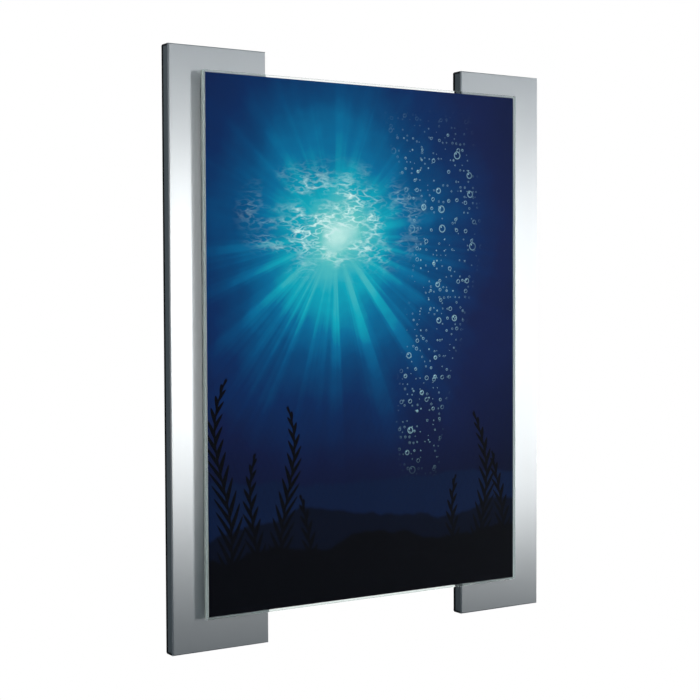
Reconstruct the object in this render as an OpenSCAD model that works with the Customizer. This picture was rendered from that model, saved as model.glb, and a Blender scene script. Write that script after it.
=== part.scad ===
// Wall-hung poster frame: two upright rails carry a clear pocket panel on four hidden keyhole
// hangers, and the poster slides up out of the pocket.
// Millimetres. +X to the viewer's right, +Y into the wall, +Z up. The origin is on the wall
// plane, in the middle of the four wall screw holes.

/* [Poster] */
// Width of the poster sheet
poster_w = 500; // [400:10:700]
// Height of the poster sheet
poster_h = 700; // [500:10:1000]
// Thickness of the poster sheet
poster_t = 0.4; // [0.2:0.1:0.6]

/* [Panel] */
// Thickness of the clear front sheet
front_sheet_t = 3; // [2:0.5:6]
// Depth of the pocket between the two sheets
pocket_t = 1; // [0.8:0.1:2]
// Thickness of the clear back sheet
back_sheet_t = 4; // [3.5:0.5:8]
// Width of the bonding strips that hold the sheets apart
spacer_w = 2.7; // [2:0.1:8]
// Room between the poster's edge and a bonding strip
poster_play = 0.3; // [0.2:0.1:1]
// Corner radius of both sheets
sheet_corner_r = 1.5; // [0.5:0.5:5]
// Rounding of the front sheet's front edges
sheet_edge_r = 0.6; // [0.2:0.1:1]
// How far the panel hangs to the right of the rails' middle
panel_shift = -3; // [-8:1:8]

/* [Rails] */
// Width of each rail
rail_w = 140; // [110:5:180]
// How far each rail reaches past the side of the panel
side_overhang = 47; // [30:1:70]
// How far the rails reach above the panel
top_overhang = 31; // [10:1:100]
// How far the rails reach below the panel
bottom_overhang = 43; // [10:1:100]
// Thickness of the metal face plate
face_t = 3; // [2:0.5:5]
// Rounding of the face plate's front edges
face_edge_r = 1.5; // [0.5:0.25:1.75]
// Depth of the channel behind the face plate
channel_d = 12; // [12:0.5:20]
// Wall thickness of the channel
channel_wall = 2; // [1.5:0.25:3]
// Thickness of the bar on the wall
bar_t = 5; // [4:0.5:8]
// Thickness of the end caps
cap_t = 3; // [3:0.5:5]
// Rounding of the end caps' edge at the wall
cap_round = 3; // [1:0.25:3]

/* [Wall fixing] */
// Diameter of the wall screw holes
wall_hole_d = 5.5; // [4:0.1:7]
// Distance from a rail's end to its wall screw hole
wall_hole_inset = 70; // [50:5:120]

/* [Hanging] */
// Distance from the panel's top or bottom edge to the studs
stud_inset = 63; // [50:1:120]
// Diameter of a stud's head
stud_head_d = 9; // [8:0.5:12]
// Thickness of a stud's head
stud_head_t = 1.25; // [1:0.05:2]
// Diameter of a stud's neck
stud_neck_d = 5; // [4.8:0.1:6]
// Diameter of a stud's threaded shank
stud_shank_d = 4; // [3:0.25:4.25]
// Thickness of a hanger's sheet metal
hanger_t = 1; // [0.8:0.1:1.5]
// How far the panel is lifted to free it from the studs
lift = 12; // [10:0.5:20]
// Room all round a stud in its hanger
slip = 0.25; // [0.2:0.05:0.4]

/* [Hidden] */
$fn = 48;

// Overrun of every cut past the face it opens
cut = 0.5;
// Radial room of a thread or shank in its hole
thread_play = 0.05;
// Sides of a hexagon nut or key hole
hex_sides = 6;

// Panel outline: the poster, its play and the bonding strips
margin = spacer_w + poster_play;
sheet_w = poster_w + 2 * margin;
sheet_h = poster_h + 2 * margin;

// Rail outline, worked out from the panel that the rails carry
rail_span = sheet_w + 2 * side_overhang;
rail_h = sheet_h + top_overhang + bottom_overhang;
rail_x = (rail_span - rail_w) / 2;
panel_z = (bottom_overhang - top_overhang) / 2;
core_h = rail_h - 2 * cap_t;

// Planes from the wall forwards
bar_front = -bar_t;
web_back = bar_front - channel_d + channel_wall;
web_front = bar_front - channel_d;
rail_front = web_front - face_t;
hang_gap = 3 * slip + hanger_t + stud_head_t;
back_sheet_back = rail_front - hang_gap;
pocket_back = back_sheet_back - back_sheet_t;
pocket_front = pocket_back - pocket_t;

// Snap between a channel and its wall bar
lip_w = 0.8;
lip_d = 1.2;
lip_set_back = 1;
clip_t = 2;
clip_play = 0.3;
clip_nose = 0.8;
clip_nose_d = 2.4;
clip_seat_play = 0.2;
channel_in = rail_w / 2 - channel_wall;
clip_out = channel_in - lip_w - clip_play;
lip_back = bar_front - lip_set_back;
lip_front = lip_back - lip_d;
clip_hook = lip_front - clip_seat_play;
clip_tip = clip_hook - clip_nose_d;

// Screw ports along each channel, and the screws that hold the caps in them
port_inset = 14;
port_r = 3.5;
port_root = 0.8;
cap_screw_r = 1.6;
cap_screw_reach = 12;
cap_head_r = 3.4;
cap_head_t = 2.2;
cap_head_sink = 0.1;
cap_hole_r = 1.9;
drive_r = 1;
drive_depth = 0.8;
land_gap = 1;
land_play = 0.3;
land_t = 2;
port_x = rail_w / 2 - port_inset;
land_w = 2 * (port_x - port_r - land_gap);
port_y = web_back + port_r - port_root;

// Studs, with the nuts and washers behind them
stud_x = (rail_x - rail_w / 2 + sheet_w / 2) / 2;
stud_z = sheet_h / 2 - stud_inset;
stud_hole_play = 0.15;
stud_chamfer = 0.3;
washer_r = 4.5;
washer_t = 0.8;
nut_flat = 3.5;
nut_t = 3.2;
shank_tail = 1;
neck_l = 2 * slip + hanger_t;
stud_shank_l = face_t + channel_wall + washer_t + nut_t + shank_tail;
stud_drive_w = 2.5;
stud_drive_depth = 0.7;

// Hangers: a raised strap with a keyhole, and a screwed foot on each side
strap_room = 2.5;
entry_play = 0.7;
keyhole_rim = 5;
foot_w = 9;
foot_corner_r = 2;
strap_in = stud_head_d / 2 + strap_room;
strap_out = strap_in + hanger_t;
slot_r = stud_neck_d / 2 + slip;
entry_r = stud_head_d / 2 + entry_play;
hanger_top = slot_r + keyhole_rim;
hanger_bottom = -lift - entry_r - keyhole_rim;
hanger_h = hanger_top - hanger_bottom;
hanger_mid = (hanger_top + hanger_bottom) / 2;
hanger_front = rail_front - slip;

// Hanger screws in blind holes of the back sheet
hanger_screw_r = 1.5;
hanger_screw_bite = 2.6;
hanger_head_r = 2.6;
hanger_head_t = 1.1;
hanger_hole_r = 1.7;
pilot_spare = 0.4;

// Bumpers behind the panel's corners
bumper_r = 6;
bumper_inset = 18;
bumper_waist = 0.6;
bumper_gap = 0.3;
bumper_t = hang_gap - bumper_gap;

// Outline made of its right half's points and their mirror image
function both_halves(half) =
    concat(half, [for (i = [len(half) - 1 : -1 : 0]) [-half[i][0], half[i][1]]]);

// Rectangle with round corners, centred
module round_rect(w, h, r) {
    square([w - 2 * r, h], center = true);
    square([w, h - 2 * r], center = true);
    for (x = [-1, 1], y = [-1, 1])
        translate([x * (w / 2 - r), y * (h / 2 - r)]) circle(r);
}

// Strip that stands on the X axis, with its two far corners round
module round_front(w, t, r) {
    translate([-w / 2, 0]) square([w, t - r]);
    translate([-w / 2 + r, 0]) square([w - 2 * r, t]);
    for (x = [-1, 1])
        translate([x * (w / 2 - r), t - r]) circle(r);
}

// Upright plate with its back at Y 0 and round corners
module plate(w, h, t, corner_r) {
    rotate([90, 0, 0]) linear_extrude(t) round_rect(w, h, corner_r);
}

// Upright block with its back at Y 0 and all four front edges rounded
module soft_front(w, h, t, r) {
    intersection() {
        translate([0, 0, -h / 2]) linear_extrude(h) mirror([0, 1]) round_front(w, t, r);
        translate([w / 2, 0, 0]) rotate([0, -90, 0]) linear_extrude(w)
            mirror([0, 1]) round_front(h, t, r);
    }
}

// Children at one side, or mirrored to the other: -1 is the left, 1 is the right
module on_side(side) {
    mirror([side < 0 ? 1 : 0, 0, 0]) children();
}

// Children at the two studs of one side
module at_studs() {
    for (z = [-1, 1])
        translate([stud_x, 0, panel_z + z * stud_z]) children();
}

// Round bar along +Y that starts at the children's origin
module y_bar(r, l) {
    rotate([-90, 0, 0]) cylinder(r = r, h = l);
}

// Metal face plate of a rail
module face(side) {
    color("#c9ced2") on_side(side) difference() {
        translate([rail_x, web_front, 0]) soft_front(rail_w, rail_h, face_t, face_edge_r);
        at_studs() translate([0, rail_front - cut, 0])
            y_bar(stud_shank_d / 2 + stud_hole_play, face_t + 2 * cut);
    }
}

// Section of the channel: web, side walls with snap lips, and two screw ports
module channel_section() {
    difference() {
        union() {
            polygon(both_halves([
                [rail_w / 2, web_front],
                [rail_w / 2, bar_front],
                [channel_in, bar_front],
                [channel_in, lip_back],
                [channel_in - lip_w, lip_back],
                [channel_in - lip_w, lip_front],
                [channel_in, lip_front],
                [channel_in, web_back]
            ]));
            for (x = [-1, 1])
                translate([x * port_x, port_y]) circle(port_r);
        }
        for (x = [-1, 1])
            translate([x * port_x, port_y]) circle(cap_screw_r + thread_play);
    }
}

// Dark channel behind a face plate
module channel(side) {
    color("#43484d") on_side(side) difference() {
        translate([rail_x, 0, -core_h / 2]) linear_extrude(core_h) channel_section();
        at_studs() translate([0, web_front - cut, 0])
            y_bar(stud_shank_d / 2 + stud_hole_play, channel_wall + 2 * cut);
    }
}

// Section of the wall bar: a flat base and two clip ribs with hooked noses
module wall_bar_section() {
    polygon(both_halves([
        [rail_w / 2, 0],
        [rail_w / 2, bar_front],
        [clip_out, bar_front],
        [clip_out, clip_hook],
        [clip_out + clip_nose, clip_hook],
        [clip_out, clip_tip],
        [clip_out - clip_t, clip_tip],
        [clip_out - clip_t, bar_front]
    ]));
}

// Black bar that is screwed to the wall and carries the rail
module wall_bar(side) {
    color("#17181a") on_side(side) difference() {
        translate([rail_x, 0, -core_h / 2]) linear_extrude(core_h) wall_bar_section();
        for (z = [-1, 1])
            translate([rail_x, bar_front - cut, z * (rail_h / 2 - wall_hole_inset)])
                y_bar(wall_hole_d / 2, bar_t + 2 * cut);
    }
}

// Side view of an end cap: depth along X, height along Y, rounded at the wall
module cap_profile() {
    depth = bar_t + channel_d;
    difference() {
        translate([-depth, 0]) square([depth, cap_t]);
        translate([-cap_round, cap_t - cap_round]) square(cap_round + cut);
    }
    intersection() {
        translate([-cap_round, cap_t - cap_round]) circle(cap_round);
        translate([-cap_round, 0]) square([cap_round, cap_t]);
    }
}

// Black end cap with a locating land and two countersunk holes, its inner face at Z 0
module cap_body() {
    difference() {
        union() {
            translate([-rail_w / 2, 0, 0]) rotate([90, 0, 90]) linear_extrude(rail_w) cap_profile();
            translate([-land_w / 2, web_back + land_play, -land_t])
                cube([land_w, channel_d - channel_wall - 2 * land_play, land_t + cap_t / 2]);
        }
        for (x = [-1, 1])
            translate([x * port_x, port_y, 0]) {
                translate([0, 0, -cut]) cylinder(r = cap_hole_r, h = cap_t + 2 * cut);
                translate([0, 0, cap_t - cap_head_t - cap_head_sink])
                    cylinder(r1 = cap_hole_r, r2 = cap_head_r + thread_play, h = cap_head_t);
                translate([0, 0, cap_t - cap_head_sink])
                    cylinder(r = cap_head_r + thread_play, h = cap_head_sink + cut);
            }
    }
}

// End cap at the top or the bottom of a rail
module cap(side, end) {
    color("#141517") on_side(side) mirror([0, 0, end < 0 ? 1 : 0])
        translate([rail_x, 0, core_h / 2]) cap_body();
}

// Countersunk screw that points down, with its head's top at Z 0
module cap_screw() {
    difference() {
        union() {
            translate([0, 0, -cap_head_t])
                cylinder(r1 = cap_screw_r, r2 = cap_head_r, h = cap_head_t);
            translate([0, 0, -cap_t - cap_screw_reach])
                cylinder(r = cap_screw_r, h = cap_t + cap_screw_reach - cap_head_t);
        }
        translate([0, 0, -drive_depth]) cylinder(r = drive_r, h = drive_depth + cut);
    }
}

// Screws of all four end caps
module cap_screws() {
    color("#9a9fa3") for (side = [-1, 1], end = [0, 1], x = [-1, 1])
        on_side(side) mirror([0, 0, end])
            translate([rail_x + x * port_x, port_y, rail_h / 2 - cap_head_sink]) cap_screw();
}

// Headed stud on the rail's front, its shank running back through the rail
module stud() {
    difference() {
        union() {
            translate([0, -neck_l - stud_head_t, 0]) y_bar(stud_head_d / 2, stud_head_t);
            translate([0, -neck_l, 0]) y_bar(stud_neck_d / 2, neck_l);
            y_bar(stud_shank_d / 2, stud_shank_l - stud_chamfer);
            translate([0, stud_shank_l - stud_chamfer, 0]) rotate([-90, 0, 0])
                cylinder(r1 = stud_shank_d / 2, r2 = stud_shank_d / 2 - stud_chamfer, h = stud_chamfer);
        }
        translate([0, -neck_l - stud_head_t - cut, 0]) rotate([-90, 0, 0])
            cylinder(r = stud_drive_w / 2, h = stud_drive_depth + cut, $fn = hex_sides);
    }
}

// The four studs that the panel hangs on
module hanging_studs() {
    color("#a7acb0") for (side = [-1, 1])
        on_side(side) at_studs() translate([0, rail_front, 0]) stud();
}

// Washers between the channels and the nuts
module stud_washers() {
    color("#b4b8bb") for (side = [-1, 1])
        on_side(side) at_studs() translate([0, web_back, 0]) difference() {
            y_bar(washer_r, washer_t);
            translate([0, -cut, 0])
                y_bar(stud_shank_d / 2 + stud_hole_play, washer_t + 2 * cut);
        }
}

// Hexagon nuts that hold the studs
module stud_nuts() {
    color("#a0a5a9") for (side = [-1, 1])
        on_side(side) at_studs() translate([0, web_back + washer_t, 0]) difference() {
            rotate([-90, 0, 0])
                cylinder(r = nut_flat / cos(180 / hex_sides), h = nut_t, $fn = hex_sides);
            translate([0, -cut, 0])
                y_bar(stud_shank_d / 2 + thread_play, nut_t + 2 * cut);
        }
}

// Clear front sheet, with its edges rounded where they show
module front_sheet() {
    color("#cfe6e0", 0.35) translate([panel_shift, pocket_front, panel_z]) intersection() {
        soft_front(sheet_w, sheet_h, front_sheet_t, sheet_edge_r);
        translate([0, cut, 0]) plate(sheet_w, sheet_h, front_sheet_t + 2 * cut, sheet_corner_r);
    }
}

// Poster sheet in the middle of the pocket's depth
module poster() {
    color("#0b4fa0")
        translate([panel_shift - poster_w / 2, pocket_back - (pocket_t + poster_t) / 2,
                   panel_z - poster_h / 2])
            cube([poster_w, poster_t, poster_h]);
}

// Clear back sheet with blind holes for the hanger screws
module back_sheet() {
    color("#bcd8d0", 0.5) difference() {
        translate([panel_shift, back_sheet_back, panel_z])
            plate(sheet_w, sheet_h, back_sheet_t, sheet_corner_r);
        for (side = [-1, 1])
            on_side(side) at_studs() at_hanger_screws()
                translate([0, back_sheet_back - hanger_screw_bite - pilot_spare, 0])
                    y_bar(hanger_screw_r + thread_play, hanger_screw_bite + pilot_spare + cut);
    }
}

// Bonding strip along one side of the pocket
module side_spacer(side) {
    color("#dfe7e6") translate([panel_shift, 0, 0]) on_side(side)
        translate([sheet_w / 2 - spacer_w, pocket_front, panel_z - sheet_h / 2 + sheet_corner_r])
            cube([spacer_w, pocket_t, sheet_h - 2 * sheet_corner_r]);
}

// Bonding strip along the foot of the pocket, which the poster stands on
module bottom_spacer() {
    color("#dfe7e6")
        translate([panel_shift - sheet_w / 2 + spacer_w, pocket_front, panel_z - sheet_h / 2])
            cube([sheet_w - 2 * spacer_w, pocket_t, spacer_w]);
}

// Children at the two screws of a hanger, seen from its stud
module at_hanger_screws() {
    for (x = [-1, 1])
        translate([x * (strap_out + foot_w / 2), 0, hanger_mid]) children();
}

// Pressed hanger plate without its holes: a raised strap between two feet with round corners
module hanger_blank() {
    foot_out = strap_out + foot_w;
    intersection() {
        translate([0, 0, hanger_bottom]) linear_extrude(hanger_h) polygon(both_halves([
            [strap_out, hanger_front],
            [strap_out, back_sheet_back + hanger_t],
            [foot_out, back_sheet_back + hanger_t],
            [foot_out, back_sheet_back],
            [strap_in, back_sheet_back],
            [strap_in, hanger_front - hanger_t]
        ]));
        translate([0, hanger_front + cut, hanger_mid])
            plate(2 * foot_out, hanger_h, hang_gap + 2 * cut, foot_corner_r);
    }
}

// Keyhole through a hanger's strap: a wide entry below a narrow slot
module keyhole() {
    translate([0, hanger_front - hanger_t - cut, 0]) {
        y_bar(slot_r, hanger_t + 2 * cut);
        translate([-slot_r, 0, -lift]) cube([2 * slot_r, hanger_t + 2 * cut, lift]);
        translate([0, 0, -lift]) y_bar(entry_r, hanger_t + 2 * cut);
    }
}

// Keyhole hanger at one stud: side -1 is left, level -1 is low
module hanger(side, level) {
    color("#9fa5a9") on_side(side) translate([stud_x, 0, panel_z + level * stud_z]) difference() {
        hanger_blank();
        keyhole();
        at_hanger_screws() translate([0, back_sheet_back - cut, 0])
            y_bar(hanger_hole_r, hanger_t + 2 * cut);
    }
}

// Round-headed screw that runs forwards into the panel, its head's seat at Y 0
module hanger_screw() {
    difference() {
        union() {
            y_bar(hanger_head_r, hanger_head_t);
            translate([0, -hanger_t - hanger_screw_bite, 0])
                y_bar(hanger_screw_r, hanger_t + hanger_screw_bite);
        }
        translate([0, hanger_head_t - drive_depth, 0]) y_bar(drive_r, drive_depth + cut);
    }
}

// Screws of all four hangers
module hanger_screws() {
    color("#b9bdc0") for (side = [-1, 1])
        on_side(side) at_studs() at_hanger_screws()
            translate([0, back_sheet_back + hanger_t, 0]) hanger_screw();
}

// Soft pads that keep the panel off the rails at its corners
module bumpers() {
    color("#2a2b2d") for (side = [-1, 1], level = [-1, 1])
        translate([panel_shift, 0, 0]) on_side(side)
            translate([sheet_w / 2 - bumper_inset, back_sheet_back,
                       panel_z + level * (sheet_h / 2 - bumper_inset)]) {
                y_bar(bumper_r, bumper_t - bumper_waist);
                translate([0, bumper_t - bumper_waist, 0]) rotate([-90, 0, 0])
                    cylinder(r1 = bumper_r, r2 = bumper_r - bumper_waist, h = bumper_waist);
            }
}

face(-1);  // left_face
face(1);  // right_face
channel(-1);  // left_channel
channel(1);  // right_channel
wall_bar(-1);  // left_wall_bar
wall_bar(1);  // right_wall_bar
cap(-1, 1);  // left_top_cap
cap(-1, -1);  // left_bottom_cap
cap(1, 1);  // right_top_cap
cap(1, -1);  // right_bottom_cap
cap_screws();
hanging_studs();
stud_washers();
stud_nuts();
front_sheet();
poster();
back_sheet();
side_spacer(-1);  // left_spacer
side_spacer(1);  // right_spacer
bottom_spacer();
hanger(-1, 1);  // upper_left_hanger
hanger(1, 1);  // upper_right_hanger
hanger(-1, -1);  // lower_left_hanger
hanger(1, -1);  // lower_right_hanger
hanger_screws();
bumpers();
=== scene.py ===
"""Looks of a wall-hung poster frame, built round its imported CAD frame.

Two upright rails carry a clear pocket panel on four hidden keyhole hangers, and a poster stands in
the pocket. Lengths are in metres: +X is the viewer's right, +Y runs into the wall and +Z is up.
Every place is read from the CAD nodes' boxes, and a class's fields hold the sizes that a box
doesn't give, such as a sheet's thickness or the rounding of an edge.
"""

import logging
import math
from contextlib import contextmanager
from dataclasses import dataclass
from enum import Enum, IntEnum
from typing import Callable, Iterator, Sequence

import bmesh
import bpy
from mathutils import Matrix, Vector


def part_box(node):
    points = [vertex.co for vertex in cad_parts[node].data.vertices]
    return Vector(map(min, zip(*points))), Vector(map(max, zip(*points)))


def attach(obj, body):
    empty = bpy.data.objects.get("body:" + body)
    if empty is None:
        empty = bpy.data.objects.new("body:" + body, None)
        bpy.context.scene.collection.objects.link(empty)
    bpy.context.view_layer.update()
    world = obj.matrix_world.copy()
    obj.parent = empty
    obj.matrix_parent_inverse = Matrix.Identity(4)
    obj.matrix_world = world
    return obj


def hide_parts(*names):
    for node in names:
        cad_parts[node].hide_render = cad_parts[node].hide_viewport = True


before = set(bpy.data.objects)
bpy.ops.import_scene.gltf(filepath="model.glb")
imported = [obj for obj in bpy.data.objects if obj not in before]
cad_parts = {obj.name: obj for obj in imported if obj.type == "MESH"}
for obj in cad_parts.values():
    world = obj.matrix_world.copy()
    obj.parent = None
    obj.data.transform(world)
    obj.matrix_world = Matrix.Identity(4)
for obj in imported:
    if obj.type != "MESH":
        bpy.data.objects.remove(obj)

log = logging.getLogger("poster_frame")

TOUCH = 2e-6             # two places closer than this are one
OVERRUN = 0.001          # how far a cutter reaches past the face that it opens
CREASE = math.radians(32)  # sharpest bend that is still shaded smooth
MITRE = 0.999            # directions whose cosine is above this are one
STUD_HEAD = 0.0045       # radius of a hanging stud's head
CAP_SCREW_HEAD = 0.0034  # radius of an end cap screw's head
RIDGE = (0.45, 0.6)      # where a thread's crest starts and ends, in shares of the pitch
WARM = (1.0, 0.97, 0.94)
WHITE = (1.0, 1.0, 1.0)
INWARDS = Vector((0, 1, 0))  # from the viewer to the wall
UPWARDS = Vector((0, 0, 1))

Piece = bpy.types.Object
Material = bpy.types.Material
Colour = tuple[float, float, float]
Grain = tuple[float, float, float]
Fade = tuple[float, float]
Element = bmesh.types.BMFace | bmesh.types.BMEdge
Test = Callable[[Element], bool]
Profile = Sequence[tuple[float, float]]
Steps = list[tuple[float, float]]
Inputs = dict[str | int, object]


class Axis(IntEnum):
    """Axis of the object's own frame."""

    X = 0
    Y = 1
    Z = 2


class Side(Enum):
    """Side of the object, as the viewer sees it."""

    LEFT = -1
    RIGHT = 1


class Body(Enum):
    """CAD body that a piece moves with."""

    RAILS = "rails"
    PANEL = "panel"
    POSTER = "poster"


@dataclass(frozen=True)
class Box:
    """Lowest and highest corner of something that stands square to the axes."""

    low: Vector
    high: Vector

    @classmethod
    def of(cls, node: str) -> "Box":
        """Returns the box of a CAD node at rest."""
        return cls(*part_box(node))

    @property
    def middle(self) -> Vector:
        """The box's centre."""
        return (self.low + self.high) / 2


def stud_places() -> tuple[float, tuple[float, float]]:
    """Reads the right studs' places from the frame.

    Returns:
        Their X, and the upper and the lower stud's Z.
    """
    studs = Box.of("hanging_studs")
    return studs.high.x - STUD_HEAD, (studs.high.z - STUD_HEAD, studs.low.z + STUD_HEAD)


# Modelling bench: primitives, edit-mode operators and cuts

def deselect_all() -> None:
    """Leaves nothing selected, because an operator acts on all that is."""
    bpy.ops.object.select_all(action="DESELECT")


def activate(piece: Piece) -> None:
    """Makes one piece the only selected and active one.

    Args:
        piece: The piece to work on.
    """
    deselect_all()
    piece.select_set(True)
    bpy.context.view_layer.objects.active = piece


def settle(name: str) -> Piece:
    """Names the primitive that was just added and moves its place into its mesh.

    Args:
        name: The piece's name.

    Returns:
        The piece, with its object at the origin, unturned and unscaled.
    """
    piece = bpy.context.object
    piece.name = piece.data.name = name
    bpy.ops.object.transform_apply(location=True, rotation=True, scale=True)
    return piece


def add_block(name: str, low: Vector, high: Vector) -> Piece:
    """Adds a cube primitive between two corners.

    Args:
        name: The piece's name.
        low: Its lowest corner.
        high: Its highest corner.

    Returns:
        The new piece.
    """
    deselect_all()
    bpy.ops.mesh.primitive_cube_add(size=1, location=(low + high) / 2)
    bpy.context.object.scale = high - low
    return settle(name)


def add_bar(name: str, radius: float, start: Vector, end: Vector, sides: int = 48) -> Piece:
    """Adds a cylinder primitive from one point to another.

    Args:
        name: The piece's name.
        radius: Its radius.
        start: The middle of one end.
        end: The middle of the other end.
        sides: Faces round it.

    Returns:
        The new piece.
    """
    deselect_all()
    span = end - start
    bpy.ops.mesh.primitive_cylinder_add(vertices=sides, radius=radius, depth=span.length,
                                        location=(start + end) / 2)
    bpy.context.object.rotation_mode = "QUATERNION"
    bpy.context.object.rotation_quaternion = span.to_track_quat("Z", "Y")
    return settle(name)


def aimed(place: Vector, direction: Vector) -> Matrix:
    """Returns the move that takes the origin to a place and +Z to a direction."""
    return Matrix.Translation(place) @ direction.to_track_quat("Z", "Y").to_matrix().to_4x4()


@contextmanager
def edit_mode(piece: Piece) -> Iterator[None]:
    """Opens one piece in edit mode for as long as the block runs.

    Args:
        piece: The piece to edit.

    Returns:
        The manager of the block.
    """
    activate(piece)
    bpy.ops.object.mode_set(mode="EDIT")
    try:
        yield
    finally:
        bpy.ops.object.mode_set(mode="OBJECT")


def pick(piece: Piece, kind: str, test: Test) -> None:
    """Selects the faces or edges that pass a test, in edit mode.

    Args:
        piece: The piece in edit mode.
        kind: FACE or EDGE.
        test: Says whether to select a face or an edge.
    """
    bpy.ops.mesh.select_mode(type=kind)
    bpy.ops.mesh.select_all(action="DESELECT")
    mesh = bmesh.from_edit_mesh(piece.data)
    for element in mesh.faces if kind == "FACE" else mesh.edges:
        if test(element):
            element.select_set(True)
    bmesh.update_edit_mesh(piece.data)


def lies_on(axis: Axis, *values: float) -> Test:
    """Returns a test for what lies wholly on a plane square to an axis, or on one of several."""
    return lambda element: any(all(abs(vert.co[axis] - value) < TOUCH for vert in element.verts)
                               for value in values)


def centred_on(axis: Axis, value: float) -> Test:
    """Returns a test for faces whose middle lies on a plane square to an axis."""
    return lambda face: abs(face.calc_center_median()[axis] - value) < TOUCH


def both(first: Test, second: Test) -> Test:
    """Returns a test for what passes both tests."""
    return lambda element: first(element) and second(element)


def runs_along(axis: Axis) -> Test:
    """Makes a test for straight edges along an axis.

    Args:
        axis: The axis that the edges run along.

    Returns:
        The test.
    """
    def test(edge: bmesh.types.BMEdge) -> bool:
        """Says whether an edge runs along the axis."""
        span = edge.verts[1].co - edge.verts[0].co
        return abs(span[axis]) > MITRE * span.length
    return test


def bevel(piece: Piece, test: Test, width: float, segments: int) -> None:
    """Rounds the edges that pass a test.

    Args:
        piece: The piece to change.
        test: Says which edges to round.
        width: The rounding's radius.
        segments: Steps in the rounding.
    """
    with edit_mode(piece):
        pick(piece, "EDGE", test)
        bpy.ops.mesh.bevel(offset=width, offset_type="OFFSET", segments=segments, profile=0.5,
                           affect="EDGES", clamp_overlap=True)


def round_corners(piece: Piece, low: Vector, high: Vector, axis: Axis, radius: float,
                  segments: int) -> None:
    """Rounds a block's four outer edges along an axis.

    Args:
        piece: The block, which may have been shaped further.
        low: Its lowest corner.
        high: Its highest corner.
        axis: The direction of the four edges.
        radius: The rounding's radius.
        segments: Steps in the rounding.
    """
    test = runs_along(axis)
    for other in Axis:
        if other != axis:
            test = both(test, lies_on(other, low[other], high[other]))
    bevel(piece, test, radius, segments)


def extrude(piece: Piece, test: Test, *shifts: Sequence[float]) -> None:
    """Extrudes the faces that pass a test, one step after another.

    Args:
        piece: The piece to change.
        test: Says which faces to extrude.
        shifts: How far each step goes.
    """
    with edit_mode(piece):
        pick(piece, "FACE", test)
        for shift in shifts:
            bpy.ops.mesh.extrude_region_move(TRANSFORM_OT_translate={"value": tuple(shift)})


def cut_at(piece: Piece, axis: Axis, *values: float) -> None:
    """Adds a loop of edges where planes square to an axis cross a piece.

    Args:
        piece: The piece to change.
        axis: The axis that the planes are square to.
        values: The planes' places along it.
    """
    normal = Vector([float(axis == other) for other in Axis])
    with edit_mode(piece):
        for value in values:
            bpy.ops.mesh.select_all(action="SELECT")
            bpy.ops.mesh.bisect(plane_co=normal * value, plane_no=normal)


def apply_modifier(piece: Piece, kind: str, **settings: object) -> None:
    """Adds a modifier to a piece and applies it.

    Args:
        piece: The piece to change.
        kind: The modifier's kind.
        settings: Its properties.
    """
    modifier = piece.modifiers.new(kind.lower(), kind)
    for name, value in settings.items():
        setattr(modifier, name, value)
    activate(piece)
    bpy.ops.object.modifier_apply(modifier=modifier.name)


def combine(piece: Piece, other: Piece, operation: str = "DIFFERENCE") -> None:
    """Cuts, adds or intersects a piece with another, which is used up.

    Args:
        piece: The piece to change.
        other: The cutter or the part to add.
        operation: DIFFERENCE, UNION or INTERSECT.
    """
    apply_modifier(piece, "BOOLEAN", operation=operation, solver="EXACT", object=other)
    bpy.data.objects.remove(other, do_unlink=True)


def bore(piece: Piece, radius: float, start: Vector, end: Vector, sides: int = 48) -> None:
    """Drills a straight round hole through a piece, from one point to another."""
    combine(piece, add_bar("drill", radius, start, end, sides))


def bore_inwards(piece: Piece, radius: float, place: tuple[float, float],
                 front: float, rear: float, sides: int = 48) -> None:
    """Drills a round hole at an X and Z, right through from one Y to another."""
    x, z = place
    bore(piece, radius, Vector((x, front - OVERRUN, z)), Vector((x, rear + OVERRUN, z)), sides)


def turn(name: str, profile: Profile, start: Vector, direction: Vector, sides: int = 48) -> Piece:
    """Turns a solid on a lathe: a disc, extruded and resized step by step.

    Args:
        name: The piece's name.
        profile: Radius and height of each step along the axis, upwards.
        start: The point where the height is zero.
        direction: The axis, along which the height grows.
        sides: Faces round it.

    Returns:
        The new piece.
    """
    deselect_all()
    radius, height = profile[0]
    bpy.ops.mesh.primitive_circle_add(vertices=sides, radius=radius, fill_type="NGON",
                                      location=(0, 0, height))
    piece = settle(name)
    with edit_mode(piece):
        bpy.ops.mesh.select_mode(type="FACE")
        bpy.ops.mesh.select_all(action="SELECT")
        for next_radius, next_height in profile[1:]:
            bpy.ops.mesh.extrude_region_move(
                TRANSFORM_OT_translate={"value": (0, 0, next_height - height)})
            ratio = next_radius / radius
            bpy.ops.transform.resize(value=(ratio, ratio, 1), center_override=(0, 0, next_height))
            radius, height = next_radius, next_height
    point_outwards(piece)
    piece.data.transform(aimed(start, direction))
    return piece


def point_outwards(piece: Piece) -> None:
    """Merges doubled points and turns every face outwards.

    Args:
        piece: The piece to mend.
    """
    with edit_mode(piece):
        bpy.ops.mesh.select_all(action="SELECT")
        bpy.ops.mesh.remove_doubles(threshold=TOUCH)
        bpy.ops.mesh.normals_make_consistent(inside=False)


def copied(piece: Piece, name: str, shift: Vector) -> Piece:
    """Copies a piece with its own mesh and moves the copy.

    Args:
        piece: The piece to copy.
        name: The copy's name.
        shift: How far the copy moves.

    Returns:
        The copy.
    """
    twin = piece.copy()
    twin.data = piece.data.copy()
    twin.name = twin.data.name = name
    bpy.context.scene.collection.objects.link(twin)
    twin.data.transform(Matrix.Translation(shift))
    return twin


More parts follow.
